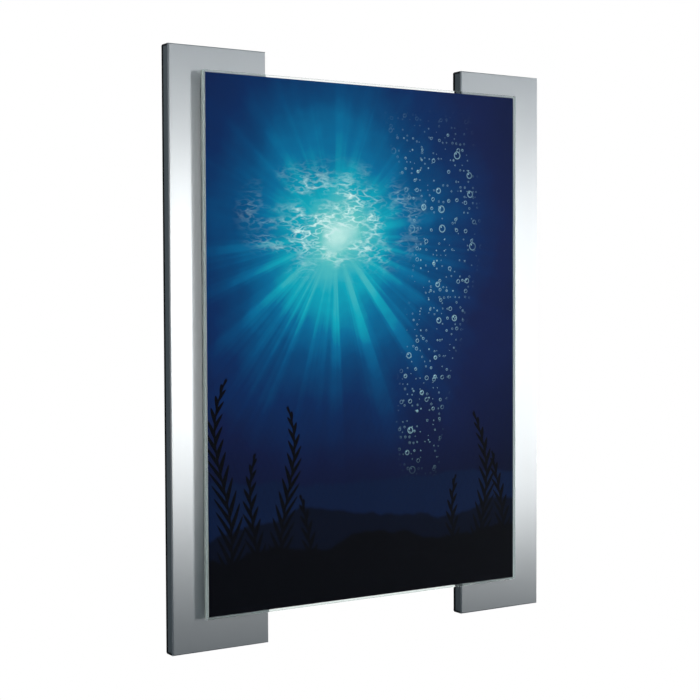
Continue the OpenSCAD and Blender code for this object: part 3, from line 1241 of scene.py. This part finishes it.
@dataclass
class Rails:
    """Both upright rails: face plate, channel, wall bar and end caps each."""

    face_round: float = 0.0015
    soft_edge: float = 0.00035
    channel_wall: float = 0.002
    lip_width: float = 0.0008
    lip_depth: float = 0.0012
    lip_set_back: float = 0.001
    port_radius: float = 0.0035
    port_bore: float = 0.00165
    stud_hole: float = 0.00215
    rib_thickness: float = 0.002
    rib_inset: float = 0.0031
    rib_nose: float = 0.0008
    rib_nose_length: float = 0.0024
    wall_hole: float = 0.00275
    wall_hole_inset: float = 0.07
    cap_round: float = 0.003
    cap_hole: float = 0.0019
    cap_sink: float = 0.00345
    cap_sink_depth: float = 0.0022
    cap_sink_rim: float = 0.0001
    land_thickness: float = 0.002
    land_play: float = 0.0003
    land_gap: float = 0.001

    def __post_init__(self) -> None:
        """Reads the places of the studs and the screws from the frame."""
        screws = Box.of("cap_screws")
        self.stud_x, self.stud_z = stud_places()
        self.face = Box.of("right_face")
        self.rail_x = self.face.middle.x
        self.port_x = screws.high.x - CAP_SCREW_HEAD - self.rail_x
        self.port_y = screws.middle.y

    def face_plate(self) -> Piece:
        """Models the right rail's face plate, its four front edges rounded.

        Returns:
            The plate.
        """
        low, high = self.face.low, self.face.high
        plate = add_block("right_face_plate", low, high)
        for z in self.stud_z:
            bore_inwards(plate, self.stud_hole, (self.stud_x, z), low.y, high.y)

        def outer(edge: bmesh.types.BMEdge) -> bool:
            """Says whether an edge lies on the plate's outline."""
            return any(lies_on(axis, low[axis], high[axis])(edge) for axis in (Axis.X, Axis.Z))
        bevel(plate, both(lies_on(Axis.Y, low.y), outer), self.face_round, 8)
        bevel(plate, both(lies_on(Axis.Y, high.y), outer), self.soft_edge / 2, 2)
        return plate

    def channel(self) -> Piece:
        """Models the right rail's channel: web, two lipped walls and two screw ports.

        Returns:
            The channel.
        """
        box = Box.of("right_channel")
        low, high = box.low, box.high
        wall = self.channel_wall
        web = low.y + wall
        channel = add_block("right_channel_section", low, Vector((high.x, web, high.z)))
        cut_at(channel, Axis.X, low.x + wall, high.x - wall)
        lip_start = high.y - self.lip_set_back - self.lip_depth

        def at_wall(face: bmesh.types.BMFace) -> bool:
            """Says whether a face lies over one of the two side walls."""
            return abs(face.calc_center_median().x - box.middle.x) > (high.x - low.x) / 2 - wall
        extrude(channel, both(lies_on(Axis.Y, web), at_wall),
                (0, lip_start - web, 0), (0, self.lip_depth, 0), (0, self.lip_set_back, 0))
        for inner, reach in ((low.x + wall, self.lip_width), (high.x - wall, -self.lip_width)):
            extrude(channel, both(lies_on(Axis.X, inner),
                                  centred_on(Axis.Y, lip_start + self.lip_depth / 2)), (reach, 0, 0))
        for side in Side:
            x = self.rail_x + side.value * self.port_x
            port = add_bar("port", self.port_radius, Vector((x, self.port_y, low.z)),
                           Vector((x, self.port_y, high.z)))
            combine(channel, port, "UNION")
            bore(channel, self.port_bore, Vector((x, self.port_y, low.z - OVERRUN)),
                 Vector((x, self.port_y, high.z + OVERRUN)))
        for z in self.stud_z:
            bore_inwards(channel, self.stud_hole, (self.stud_x, z), low.y, web)
        round_corners(channel, low, high, Axis.Z, self.soft_edge, 3)
        return channel

    def wall_bar(self) -> Piece:
        """Models the right rail's wall bar: a flat base with two hooked clip ribs.

        Returns:
            The bar.
        """
        box = Box.of("right_wall_bar")
        low, high = box.low, box.high
        front = Box.of("right_channel").high.y
        bar = add_block("right_wall_bar_section", Vector((low.x, front, low.z)), high)
        outer = (low.x + self.rib_inset, high.x - self.rib_inset)
        inner = (outer[0] + self.rib_thickness, outer[1] - self.rib_thickness)
        cut_at(bar, Axis.X, *outer, *inner)
        hook = low.y + self.rib_nose_length

        def on_rib(face: bmesh.types.BMFace) -> bool:
            """Says whether a face lies under one of the two ribs."""
            aside = abs(face.calc_center_median().x - box.middle.x)
            return inner[1] < box.middle.x + aside < outer[1]
        extrude(bar, both(lies_on(Axis.Y, front), on_rib), (0, hook - front, 0), (0, low.y - hook, 0))
        for x, reach in zip(outer, (-self.rib_nose, self.rib_nose), strict=True):
            extrude(bar, both(lies_on(Axis.X, x), centred_on(Axis.Y, (low.y + hook) / 2)), (reach, 0, 0))
            with edit_mode(bar):
                pick(bar, "EDGE", both(lies_on(Axis.X, x + reach), lies_on(Axis.Y, low.y)))
                bpy.ops.transform.translate(value=(-reach, 0, 0))
        point_outwards(bar)
        for z in (self.face.high.z - self.wall_hole_inset, self.face.low.z + self.wall_hole_inset):
            bore_inwards(bar, self.wall_hole, (self.rail_x, z), front, high.y)
        round_corners(bar, Vector((low.x, front, low.z)), high, Axis.Z, self.soft_edge, 3)
        return bar

    def top_cap(self) -> Piece:
        """Models the right rail's top cap, rounded at the wall, with a land and sunk screw holes.

        Returns:
            The cap.
        """
        box, channel = Box.of("right_top_cap"), Box.of("right_channel")
        foot = channel.high.z
        low, high = Vector((box.low.x, box.low.y, foot)), box.high
        cap = add_block("right_top_end_cap", low, high)
        bevel(cap, both(lies_on(Axis.Y, high.y), lies_on(Axis.Z, high.z)), self.cap_round - TOUCH, 10)

        def at_side(edge: bmesh.types.BMEdge) -> bool:
            """Says whether an edge runs round one side of the cap, clear of the rail and its front."""
            return lies_on(Axis.X, low.x, high.x)(edge) and not (
                lies_on(Axis.Z, low.z)(edge) or lies_on(Axis.Y, low.y)(edge))
        bevel(cap, at_side, self.soft_edge, 3)
        half = self.port_x - self.port_radius - self.land_gap
        front = channel.low.y + self.channel_wall + self.land_play
        rear, top = channel.high.y - self.land_play, (low.z + high.z) / 2
        land = add_block("land", Vector((self.rail_x - half, front, foot - self.land_thickness)),
                         Vector((self.rail_x + half, rear, top)))
        combine(cap, land, "UNION")
        profile = ((self.cap_hole, foot - OVERRUN), (self.cap_hole, high.z - self.cap_sink_depth),
                   (self.cap_sink, high.z - self.cap_sink_rim), (self.cap_sink, high.z + OVERRUN))
        for side in Side:
            place = Vector((self.rail_x + side.value * self.port_x, self.port_y, 0))
            combine(cap, turn("sink", profile, place, UPWARDS))
        point_outwards(cap)
        return cap

    def build(self) -> None:
        """Models the right rail, mirrors it to the left and hands all the pieces over."""
        aluminium = SatinAluminium().material()
        coat = Grained("channel_powder_coat", (0.040, 0.048, 0.054), (0.053, 0.063, 0.069),
                       grain=0.0007, depth=0.00003, roughness=0.55, gloss=0.12).material()
        bar_black = Grained("wall_bar_black", (0.0025, 0.0028, 0.0033), (0.0060, 0.0066, 0.0075),
                            grain=0.0005, depth=0.00002, roughness=0.6, gloss=0.03).material()
        cap_black = Grained("cap_black", (0.0070, 0.0076, 0.0085), (0.018, 0.019, 0.021),
                            grain=0.0004, depth=0.00002, roughness=0.6, gloss=0.03).material()
        for piece, word, slot, material, *steps in (
                (self.face_plate(), "_plate", "rail_aluminium", aluminium, TO_LEFT),
                (self.channel(), "_section", "channel_grey", coat, TO_LEFT),
                (self.wall_bar(), "_section", "wall_bar_black", bar_black, TO_LEFT),
                (self.top_cap(), "_end", "cap_black", cap_black, TO_LEFT, TO_BOTTOM)):
            for one in spread(piece, *steps):
                hand_over(one, Body.RAILS, one.name.replace(word, ""), slot, material)


@dataclass
class Fixings:
    """Screws, studs, washers and nuts that hold the rails together and carry the panel."""

    cap_screw_radius: float = 0.0016
    cap_screw_head_height: float = 0.0022
    cap_screw_reach: float = 0.012
    cap_screw_tip: float = 0.4
    recess_reach: float = 0.62
    recess_depth: float = 0.0009
    stud_head_height: float = 0.00125
    stud_head_foot: float = 0.0002
    stud_head_crown: float = 0.0003
    stud_neck: float = 0.0025
    stud_neck_length: float = 0.0015
    stud_shank: float = 0.002
    stud_chamfer: float = 0.0003
    stud_thread_end: float = 0.004
    stud_plain: float = 0.0035
    key_width: float = 0.00125
    key_depth: float = 0.0007
    washer_thickness: float = 0.0008
    washer_edge: float = 0.00015
    nut_chamfer: float = 0.0004
    thread_pitch: float = 0.0007
    thread_depth: float = 0.0003
    bore_play: float = 0.00005

    def __post_init__(self) -> None:
        """Reads the fixings' places from the frame."""
        self.stud_x, self.stud_z = stud_places()

    def cap_screws(self, material: Material) -> None:
        """Models one countersunk cap screw and copies it to all eight places.

        Args:
            material: The screws' finish.
        """
        box = Box.of("cap_screws")
        rail_x = Box.of("right_face").middle.x
        port_x = box.high.x - CAP_SCREW_HEAD - rail_x
        radius, core = self.cap_screw_radius, self.cap_screw_radius - self.thread_depth
        tip = Box.of("right_channel").high.z - box.high.z - self.cap_screw_reach
        profile = [(radius * self.cap_screw_tip, tip), (core, tip + radius)]
        profile += threaded(core, radius, tip + radius + self.bore_play,
                            -self.cap_screw_head_height, self.thread_pitch)
        profile += [(radius, -self.cap_screw_head_height + self.bore_play),
                    (CAP_SCREW_HEAD, -self.bore_play * 3), (CAP_SCREW_HEAD, 0.0)]
        top = Vector((rail_x + port_x, box.middle.y, box.high.z))
        screw = turn("right_top_outer_cap_screw", profile, top, UPWARDS, sides=32)
        cross_recess(screw, top, -UPWARDS, CAP_SCREW_HEAD * self.recess_reach, self.recess_depth)
        aside = ("outer", "inner", Vector((-2 * port_x, 0, 0)))
        for one in spread(screw, aside, TO_LEFT, TO_BOTTOM):
            hand_over(one, Body.RAILS, "cap_screws", "screw_steel", material)

    def stud(self) -> Piece:
        """Models the upper right stud, its head towards the viewer, with a hexagon recess.

        Returns:
            The stud.
        """
        seat = Box.of("right_face").low.y
        tail = Box.of("hanging_studs").high.y - seat
        start = Vector((self.stud_x, seat, self.stud_z[0]))
        head_top = self.stud_neck_length + self.stud_head_height
        shank, neck = self.stud_shank, self.stud_neck
        foot, crown = self.stud_head_foot, self.stud_head_crown
        core = shank - self.thread_depth
        profile = [(shank - self.stud_chamfer, -tail), (core, -tail + self.stud_chamfer)]
        profile += threaded(core, shank, -tail + self.stud_chamfer + self.bore_play, -self.stud_thread_end,
                            self.thread_pitch)
        profile += [(shank, -self.stud_plain), (shank, 0.0), (neck, self.bore_play),
                    (neck, self.stud_neck_length),
                    (STUD_HEAD - foot, self.stud_neck_length + self.bore_play),
                    (STUD_HEAD, self.stud_neck_length + foot), (STUD_HEAD, head_top - crown),
                    (STUD_HEAD - crown, head_top)]
        stud = turn("upper_right_stud", profile, start, -INWARDS, sides=40)
        face = start - INWARDS * head_top
        bore(stud, self.key_width, face - INWARDS * OVERRUN, face + INWARDS * self.key_depth, sides=6)
        return stud

    def washer(self) -> Piece:
        """Models the washer behind the upper right stud's channel web.

        Returns:
            The washer.
        """
        box = Box.of("stud_washers")
        radius, edge, thickness = box.high.x - self.stud_x, self.washer_edge, self.washer_thickness
        start = Vector((self.stud_x, box.low.y, self.stud_z[0]))
        profile = ((radius - edge, 0), (radius, edge), (radius, thickness - edge),
                   (radius - edge, thickness))
        washer = turn("upper_right_washer", profile, start, INWARDS)
        bore_inwards(washer, self.stud_shank + 3 * self.bore_play, (start.x, start.z),
                     start.y, start.y + thickness)
        return washer

    def nut(self) -> Piece:
        """Models the nut behind the upper right stud: a hexagon bar, chamfered and bored.

        Returns:
            The nut.
        """
        box = Box.of("stud_nuts")
        radius, height = box.high.x - self.stud_x, box.high.y - box.low.y
        start = Vector((self.stud_x, box.low.y, self.stud_z[0]))
        end = start + INWARDS * height
        nut = add_bar("upper_right_nut", radius, start, end, sides=6)
        with edit_mode(nut):
            bpy.ops.mesh.select_all(action="SELECT")
            bpy.ops.transform.rotate(value=math.radians(30), orient_axis="Y", center_override=tuple(start))
        rim = radius * math.cos(math.pi / 6) - self.nut_chamfer / 2
        profile = ((rim, 0), (radius, self.nut_chamfer), (radius, height - self.nut_chamfer), (rim, height))
        combine(nut, turn("cone", profile, start, INWARDS), "INTERSECT")
        bore_inwards(nut, self.stud_shank + self.bore_play, (start.x, start.z), start.y, end.y)
        point_outwards(nut)
        return nut

    def build(self) -> None:
        """Models each fixing once and hands over all its copies."""
        plated = Steel("plated_steel", Mill.PLATED, (0.66, 0.68, 0.70), (0.52, 0.53, 0.55),
                       roughness=0.325).material()
        turned = Steel("turned_steel", Mill.TURNED, (0.62, 0.63, 0.64), (0.50, 0.50, 0.52),
                       roughness=0.285).material()
        self.cap_screws(plated)
        drop = ("upper", "lower", UPWARDS * (self.stud_z[1] - self.stud_z[0]))
        for upper, node, slot, material in (
                (self.stud(), "hanging_studs", "stud_steel", turned),
                (self.washer(), "stud_washers", "zinc_steel", plated),
                (self.nut(), "stud_nuts", "zinc_steel", plated)):
            for one in spread(upper, drop, TO_LEFT):
                hand_over(one, Body.RAILS, node, slot, material)


@dataclass
class PocketPanel:
    """Clear front and back sheets, the strips that bond them, and what hangs the panel."""

    corner_round: float = 0.0015
    front_round: float = 0.0006
    soft_edge: float = 0.00025
    strip_play: float = 0.00004
    strap_half: float = 0.0075
    sheet_metal: float = 0.001
    bend: float = 0.0007
    foot_round: float = 0.002
    slot: float = 0.00275
    entry: float = 0.0052
    lift: float = 0.012
    screw_hole: float = 0.0017
    pilot_hole: float = 0.00155
    pilot_depth: float = 0.003
    screw_radius: float = 0.0015
    screw_head: float = 0.0026
    screw_head_height: float = 0.0011
    screw_head_foot: float = 0.0002
    screw_crown: float = 0.42
    screw_dome: float = math.radians(70)
    screw_tip: float = 0.0005
    thread_depth: float = 0.0003
    thread_pitch: float = 0.0006
    recess_reach: float = 0.55
    recess_depth: float = 0.0007
    bumper_radius: float = 0.006
    bumper_foot: float = 0.0002
    bumper_round: float = 0.0012
    bumper_hollow: float = 0.0004
    bumper_crown: Profile = ((0.55, 0.0), (0.3, 0.75), (0.05, 1.0))

    def __post_init__(self) -> None:
        """Reads the hangers' and their screws' places from the frame."""
        self.hanger_box = Box.of("upper_right_hanger")
        self.screws = Box.of("hanger_screws")
        self.hanger_x = self.hanger_box.middle.x
        self.stud_z = stud_places()[1][0]
        self.screw_x = self.screws.high.x - self.screw_head - self.hanger_x
        self.screw_z = self.screws.high.z - self.screw_head
        self.drop = Box.of("lower_right_hanger").low - self.hanger_box.low

    def sheet(self, node: str, rounding: float) -> Piece:
        """Models a clear sheet with round corners and softened front edges.

        Args:
            node: The CAD node that gives its place.
            rounding: Radius of the front edges.

        Returns:
            The sheet.
        """
        box = Box.of(node)
        sheet = add_block(f"clear_{node}", box.low, box.high)
        round_corners(sheet, box.low, box.high, Axis.Y, self.corner_round, 6)
        bevel(sheet, lies_on(Axis.Y, box.low.y), rounding, 4)
        bevel(sheet, lies_on(Axis.Y, box.high.y), self.soft_edge, 2)
        return sheet

    def mark_edges(self, sheet: Piece) -> None:
        """Gives the second material to the sheet's edges but the lower one, up to their roundings. This
        paints light and shade by side: the pale edge finish shows the upper and side edges as lit lines,
        and the lower edge, which lies in shade, keeps the clear finish.

        Args:
            sheet: The clear sheet.
        """
        for face in sheet.data.polygons:
            # painted shade: the lower edge keeps the clear finish, so it shows no lit line
            lower = face.normal.z < -MITRE
            face.material_index = int(abs(face.normal.y) < 1 - MITRE and not lower)

    def back_sheet(self) -> Piece:
        """Models the back sheet with a blind hole for each hanger screw.

        Returns:
            The sheet.
        """
        sheet = self.sheet("back_sheet", self.soft_edge)
        rear = Box.of("back_sheet").high.y
        for x in (self.hanger_x, -self.hanger_x):
            for z in (self.screw_z, self.screw_z + self.drop.z):
                for side in Side:
                    place = Vector((x + side.value * self.screw_x, rear, z))
                    bore(sheet, self.pilot_hole, place - INWARDS * self.pilot_depth,
                         place + INWARDS * OVERRUN, sides=24)
        return sheet

    def strip(self, node: str) -> Piece:
        """Models a bonding strip a hair thinner than its gap, with soft edges.

        Args:
            node: The CAD node that gives its place.

        Returns:
            The strip.
        """
        box = Box.of(node)
        inset = INWARDS * self.strip_play
        strip = add_block(node.replace("spacer", "bond_strip"), box.low + inset, box.high - inset)
        bevel(strip, lambda edge: True, self.soft_edge / 2, 2)
        return strip

    def hanger(self) -> Piece:
        """Models the upper right hanger: a folded strap with a keyhole and two screwed feet.

        Returns:
            The hanger.
        """
        box, half = self.hanger_box, self.sheet_metal / 2
        seat, strap = box.low.y + half, box.high.y - half
        deselect_all()
        bpy.ops.mesh.primitive_plane_add(size=1)
        blank = bpy.context.object
        blank.scale = (2 * self.strap_half, box.high.z - box.low.z, 1)
        blank.rotation_euler = (math.pi / 2, 0, 0)
        blank.location = (self.hanger_x, strap, box.middle.z)
        hanger = settle("upper_right_keyhole_hanger")
        foot = (box.high.x - box.low.x) / 2 - self.strap_half
        for side in Side:
            edge_x = self.hanger_x + side.value * self.strap_half
            with edit_mode(hanger):
                pick(hanger, "EDGE", lies_on(Axis.X, edge_x))
                for shift in ((0, seat - strap, 0), (side.value * foot, 0, 0)):
                    bpy.ops.mesh.extrude_region_move(TRANSFORM_OT_translate={"value": shift})
        bends = (self.hanger_x + side.value * self.strap_half for side in Side)
        bevel(hanger, both(runs_along(Axis.Z), lies_on(Axis.X, *bends)), self.bend, 5)
        point_outwards(hanger)
        apply_modifier(hanger, "SOLIDIFY", thickness=self.sheet_metal, offset=0, use_even_offset=True)
        point_outwards(hanger)
        round_corners(hanger, box.low, box.high, Axis.Y, self.foot_round, 5)
        self.cut_keyhole(hanger)
        return hanger

    def cut_keyhole(self, hanger: Piece) -> None:
        """Cuts the keyhole through the strap and the screw holes through the feet.

        Args:
            hanger: The folded strap.
        """
        front, rear = self.hanger_box.low.y, self.hanger_box.high.y
        for radius, z in ((self.slot, self.stud_z), (self.entry, self.stud_z - self.lift)):
            bore_inwards(hanger, radius, (self.hanger_x, z), front, rear)
        combine(hanger, add_block(
            "slot", Vector((self.hanger_x - self.slot, front - OVERRUN, self.stud_z - self.lift)),
            Vector((self.hanger_x + self.slot, rear + OVERRUN, self.stud_z))))
        for side in Side:
            place = (self.hanger_x + side.value * self.screw_x, self.screw_z)
            bore_inwards(hanger, self.screw_hole, place, front, rear, sides=32)

    def hanger_screw(self) -> Piece:
        """Models the upper right hanger's outer screw, round-headed, its point towards the viewer.

        Returns:
            The screw.
        """
        seat = self.hanger_box.low.y + self.sheet_metal
        length, foot, play = seat - self.screws.low.y, self.screw_head_foot, self.screw_head_foot / 2
        core = self.screw_radius - self.thread_depth
        profile = [(core / 2, -length), (core, -length + self.screw_tip)]
        profile += threaded(core, self.screw_radius, -length + self.screw_tip + play, -2 * foot,
                            self.thread_pitch)
        profile += [(self.screw_radius, -play), (self.screw_head - foot, 0.0)]
        for out, up in arc(6, self.screw_dome):
            profile.append((self.screw_head * (self.screw_crown + (1 - self.screw_crown) * out),
                            foot + (self.screw_head_height - foot) * (up / math.sin(self.screw_dome))))
        start = Vector((self.hanger_x + self.screw_x, seat, self.screw_z))
        screw = turn("upper_right_outer_hanger_screw", profile, start, INWARDS, sides=32)
        cross_recess(screw, start + INWARDS * self.screw_head_height, -INWARDS,
                     self.screw_head * self.recess_reach, self.recess_depth)
        return screw

    def bumper(self) -> Piece:
        """Models the upper right bumper, a soft domed pad with a hollow in its crown.

        Returns:
            The bumper.
        """
        box = Box.of("bumpers")
        height, radius = box.high.y - box.low.y, self.bumper_radius
        start = Vector((box.high.x - radius, box.low.y, box.high.z - radius))
        profile = [(radius - self.bumper_foot, 0.0), (radius, self.bumper_foot)]
        profile += [(radius - self.bumper_round * (1 - out), height - self.bumper_round * (1 - up))
                    for out, up in arc(7)]
        profile += [(radius * out, height - self.bumper_hollow * down) for out, down in self.bumper_crown]
        return turn("upper_right_bumper", profile, start, INWARDS)

    def build(self) -> None:
        """Models the panel's pieces and hands them over."""
        polished = AcrylicEdge("polished_edge", (0.84, 0.97, 0.94), (0.74, 0.89, 0.87),
                               roughness=0.12, clearness=0.42).material()
        sawn = AcrylicEdge("sawn_edge", (0.74, 0.80, 0.74), (0.60, 0.67, 0.61),
                           roughness=0.4, clearness=0.45).material()
        for sheet, node, slot, edge in (
                (self.sheet("front_sheet", self.front_round), "front_sheet", "clear_front", polished),
                (self.back_sheet(), "back_sheet", "clear_back", sawn)):
            hand_over(sheet, Body.PANEL, node, slot, ClearAcrylic(slot).material(), edge)
            self.mark_edges(sheet)
        # Painted light: the three bonding strips are of one kind, but each side gets its own clearness. The
        # right strip is milky to paint a light line, the left one hazy to paint a paler line, and the
        # bottom one, which lies in shade, is clear so that it shows no line.
        for side, look, clearness in (
                ("left", "hazy", 0.72), ("right", "milky", 0.2), ("bottom", "clear", 0.95)):
            node = f"{side}_spacer"
            bond = BondStrip(f"{look}_strip", clearness).material()
            hand_over(self.strip(node), Body.PANEL, node, "bond_strip", bond)
        self.build_fittings()

    def build_fittings(self) -> None:
        """Models a hanger, a screw and a bumper once and hands over all their copies."""
        zinc = Steel("galvanised_steel", Mill.GALVANISED, (0.60, 0.62, 0.63), (0.46, 0.48, 0.49),
                     roughness=0.365).material()
        rubber = Grained("bumper_rubber", (0.018, 0.018, 0.019), (0.030, 0.030, 0.032),
                         grain=0.0006, depth=0.00002, roughness=0.7, gloss=0.3).material()
        pads = Box.of("bumpers")
        across = pads.low - pads.high + Vector((2 * self.bumper_radius, 0, 2 * self.bumper_radius))
        inner = ("outer", "inner", Vector((-2 * self.screw_x, 0, 0)))
        lower = ("upper", "lower", self.drop)
        for model, node, slot, material, *steps in (
                (self.hanger, "", "hanger_steel", zinc, lower, TO_LEFT),
                (self.hanger_screw, "hanger_screws", "screw_steel", bpy.data.materials["plated_steel"],
                 inner, lower, TO_LEFT),
                (self.bumper, "bumpers", "bumper_rubber", rubber,
                 ("upper", "lower", UPWARDS * across.z), ("right", "left", Vector((across.x, 0, 0))))):
            for one in spread(model(), *steps):
                hand_over(one, Body.PANEL, node or one.name.replace("_keyhole", ""), slot, material)


@dataclass
class PosterSheet:
    """Printed paper that stands in the pocket, very slightly bowed between the sheets."""

    columns: int = 24
    rows: int = 34
    bow: float = 0.00012

    def build(self) -> None:
        """Models the sheet, prints its front and hands it over."""
        box = Box.of("poster")
        deselect_all()
        bpy.ops.mesh.primitive_grid_add(x_subdivisions=self.columns, y_subdivisions=self.rows, size=1)
        grid = bpy.context.object
        grid.scale = (box.high.x - box.low.x, box.high.z - box.low.z, 1)
        grid.rotation_euler = (math.pi / 2, 0, 0)
        grid.location = box.middle
        sheet = settle("poster_sheet")
        half = (box.high - box.low) / 2
        for vert in sheet.data.vertices:
            across, up = (vert.co.x - box.middle.x) / half.x, (vert.co.z - box.middle.z) / half.z
            vert.co.y += self.bow * math.cos(across * math.pi / 2) * math.sin(up * math.pi)
        apply_modifier(sheet, "SOLIDIFY", thickness=box.high.y - box.low.y, offset=0)
        point_outwards(sheet)
        design = DeepWaterPrint(middle=tuple(box.middle), height=box.high.z - box.low.z)
        hand_over(sheet, Body.POSTER, "poster", "poster_print", PosterPaper().material(), design.material())
        for face in sheet.data.polygons:
            face.material_index = int(face.normal.y < -MITRE)


# Studio

@dataclass
class Viewpoint:
    """Camera at the photograph's viewing angle."""

    place: tuple[float, float, float] = (-1.1219, -1.7321, 0.0716)
    turn_right: float = 32.53
    tip_down: float = 2.13
    roll: float = -0.21
    lens: float = 76.435
    sensor: float = 36.0

    def build(self) -> None:
        """Adds the camera and makes it the scene's."""
        data = bpy.data.cameras.new("viewpoint")
        data.lens, data.sensor_width = self.lens, self.sensor
        camera = bpy.data.objects.new("viewpoint", data)
        bpy.context.scene.collection.objects.link(camera)
        facing = Matrix.Rotation(math.radians(-self.turn_right), 4, "Z")
        tipped = Matrix.Rotation(math.radians(-self.tip_down), 4, "X")
        rolled = Matrix.Rotation(math.radians(-self.roll), 4, "Y")
        level = Matrix.Rotation(math.pi / 2, 4, "X")
        camera.matrix_world = Matrix.Translation(self.place) @ facing @ tipped @ rolled @ level
        bpy.context.scene.camera = camera


@dataclass
class Softbox:
    """Area lamp that faces the object."""

    name: str
    right_of_front: float
    elevation: float
    distance: float
    size: tuple[float, float]
    power: float
    colour: Colour = WHITE
    glints: bool = True
    only: tuple[str, ...] = ()
    screened: tuple[str, ...] = ()

    def build(self) -> None:
        """Adds the lamp, unseen by the camera itself and, if asked, by glossy surfaces."""
        data = bpy.data.lights.new(self.name, "AREA")
        data.shape = "RECTANGLE"
        data.size, data.size_y = self.size
        data.energy, data.color = self.power, self.colour
        lamp = bpy.data.objects.new(self.name, data)
        bpy.context.scene.collection.objects.link(lamp)
        turned, raised = math.radians(self.right_of_front), math.radians(self.elevation)
        level = math.cos(raised)
        away = Vector((math.sin(turned) * level, -math.cos(turned) * level, math.sin(raised)))
        lamp.location = away * self.distance
        lamp.rotation_mode = "QUATERNION"
        lamp.rotation_quaternion = away.to_track_quat("Z", "Y")
        lamp.visible_camera = False
        lamp.visible_glossy = self.glints
        if self.only or self.screened:
            self.flag(lamp)

    def flag(self, lamp: Piece) -> None:
        """Sets screens by the lamp, so that it lights some pieces only or keeps off others.

        Args:
            lamp: The lamp.
        """
        group = bpy.data.collections.new(f"{self.name}_flags")
        for name in self.only or self.screened:
            group.objects.link(bpy.data.objects[name])
        for held in group.collection_objects:
            held.light_linking.link_state = "INCLUDE" if self.only else "EXCLUDE"
        lamp.light_linking.receiver_collection = group


@dataclass
class Studio:
    """White surround, pale floor and soft lamps."""

    level_low: float = 0.10
    level_high: float = 0.32
    front_low: float = 0.05
    front_high: float = 0.12
    front_tint: Colour = (0.66, 0.86, 1.0)
    floor_z: float = -1.4
    floor_radius: float = 2.4
    floor_colour: Colour = (0.93, 0.93, 0.93)
    level_fade: Fade = (-0.6, 0.6)
    front_fade: Fade = (-0.25, 0.45)
    side_fade: Fade = (-0.1, 0.1)
    rim_shares: Fade = (0.25, 0.9)

    def world(self) -> None:
        """Makes the surround: white to the camera and behind the object, dim in front of it.

        What is seen straight through a clear sheet is white on both sides.
        """
        graph = Graph("surround", surround=True)
        ray = graph.rays()
        _, inward, upward = graph.parts(Value(graph, graph.add("TexCoord").outputs["Generated"]))
        front = graph.lerp(graph.step(upward, *self.front_fade), self.front_low, self.front_high)
        matt = graph.lerp(graph.step(upward, *self.level_fade), self.level_low, self.level_high)
        straight = graph.math("LESS_THAN", ray["Glossy Depth"] + ray["Diffuse Depth"], 0.5)
        behind = graph.math("MAXIMUM", graph.step(inward, *self.side_fade), straight)
        light = graph.lerp(ray["Is Glossy Ray"], matt, front)
        light = graph.lerp(ray["Is Transmission Ray"], light, graph.lerp(behind, front, 1.0))
        white = graph.math("MAXIMUM", ray["Is Camera Ray"], ray["Is Transmission Ray"])
        bpy.context.scene.world = graph.finish(graph.add("Background", {
            "Strength": graph.lerp(ray["Is Camera Ray"], light, 1.0),
            "Color": graph.mix(white, self.front_tint, WHITE)}))

    def floor(self) -> None:
        """Lays a round pale floor that fades into the white surround at its rim."""
        deselect_all()
        bpy.ops.mesh.primitive_circle_add(vertices=96, radius=self.floor_radius, fill_type="NGON",
                                          location=(0, 0, self.floor_z))
        floor = settle("studio_floor")
        graph = Graph("studio_floor")
        ray = graph.rays()
        reach = graph.value("VectorMath", {0: graph.place((0, 0, self.floor_z))}, output=1,
                            operation="LENGTH")
        rim = graph.step(reach, *(self.floor_radius * share for share in self.rim_shares))
        seen = graph.math("MAXIMUM", ray["Is Camera Ray"],
                          graph.math("MAXIMUM", ray["Is Glossy Ray"], ray["Is Transmission Ray"]))
        pale = graph.principled(Base_Color=self.floor_colour, Roughness=0.8, Specular_IOR_Level=0.2)
        floor.data.materials.append(graph.finish(
            graph.add("MixShader", {0: rim * seen, 1: pale, 2: graph.add("Emission")})))
        floor.visible_glossy = floor.visible_transmission = False

    def build(self) -> None:
        """Sets the view transform and adds the surround, the floor and the lamps."""
        bpy.context.scene.view_settings.view_transform = "Standard"
        self.world()
        self.floor()
        sheets = ("clear_front_sheet", "clear_back_sheet")
        left_rail = ("left_face_plate",)
        for lamp in (
                Softbox("band", 49.0, -2.1, 5.2, (0.8, 1.78), 97.0, WARM, screened=sheets),
                Softbox("upper_band", 49.0, 15.5, 5.3, (0.8, 1.4), 21.0, screened=sheets),
                Softbox("left_band", 49.0, 0.1, 5.2, (0.8, 1.2), 44.0, WARM, only=left_rail),
                Softbox("left_upper_band", 49.0, 15.5, 5.3, (0.8, 1.4), 2.5, only=left_rail),
                Softbox("front_band", -15.0, 1.6, 2.6, (0.5, 1.2), 7.0, (1.0, 0.93, 0.88), screened=sheets),
                Softbox("key", 50.0, 26.0, 5.2, (1.2, 1.2), 88.0, (1.0, 0.985, 0.96), glints=False),
                Softbox("left_fill", -97.0, 25.0, 2.0, (0.9, 0.9), 30.0, glints=False,
                        screened=("poster_sheet",)),
                Softbox("back_fill", 165.0, 30.0, 3.2, (1.2, 1.2), 48.0, glints=False)):
            lamp.build()


def main() -> None:
    """Builds the camera, the object's sub-assemblies and the studio, in that order."""
    logging.basicConfig(level=logging.INFO, format="%(name)s: %(message)s")
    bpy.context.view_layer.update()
    Viewpoint().build()
    Rails().build()
    Fixings().build()
    PocketPanel().build()
    PosterSheet().build()
    Studio().build()


if __name__ == "__main__":
    main()
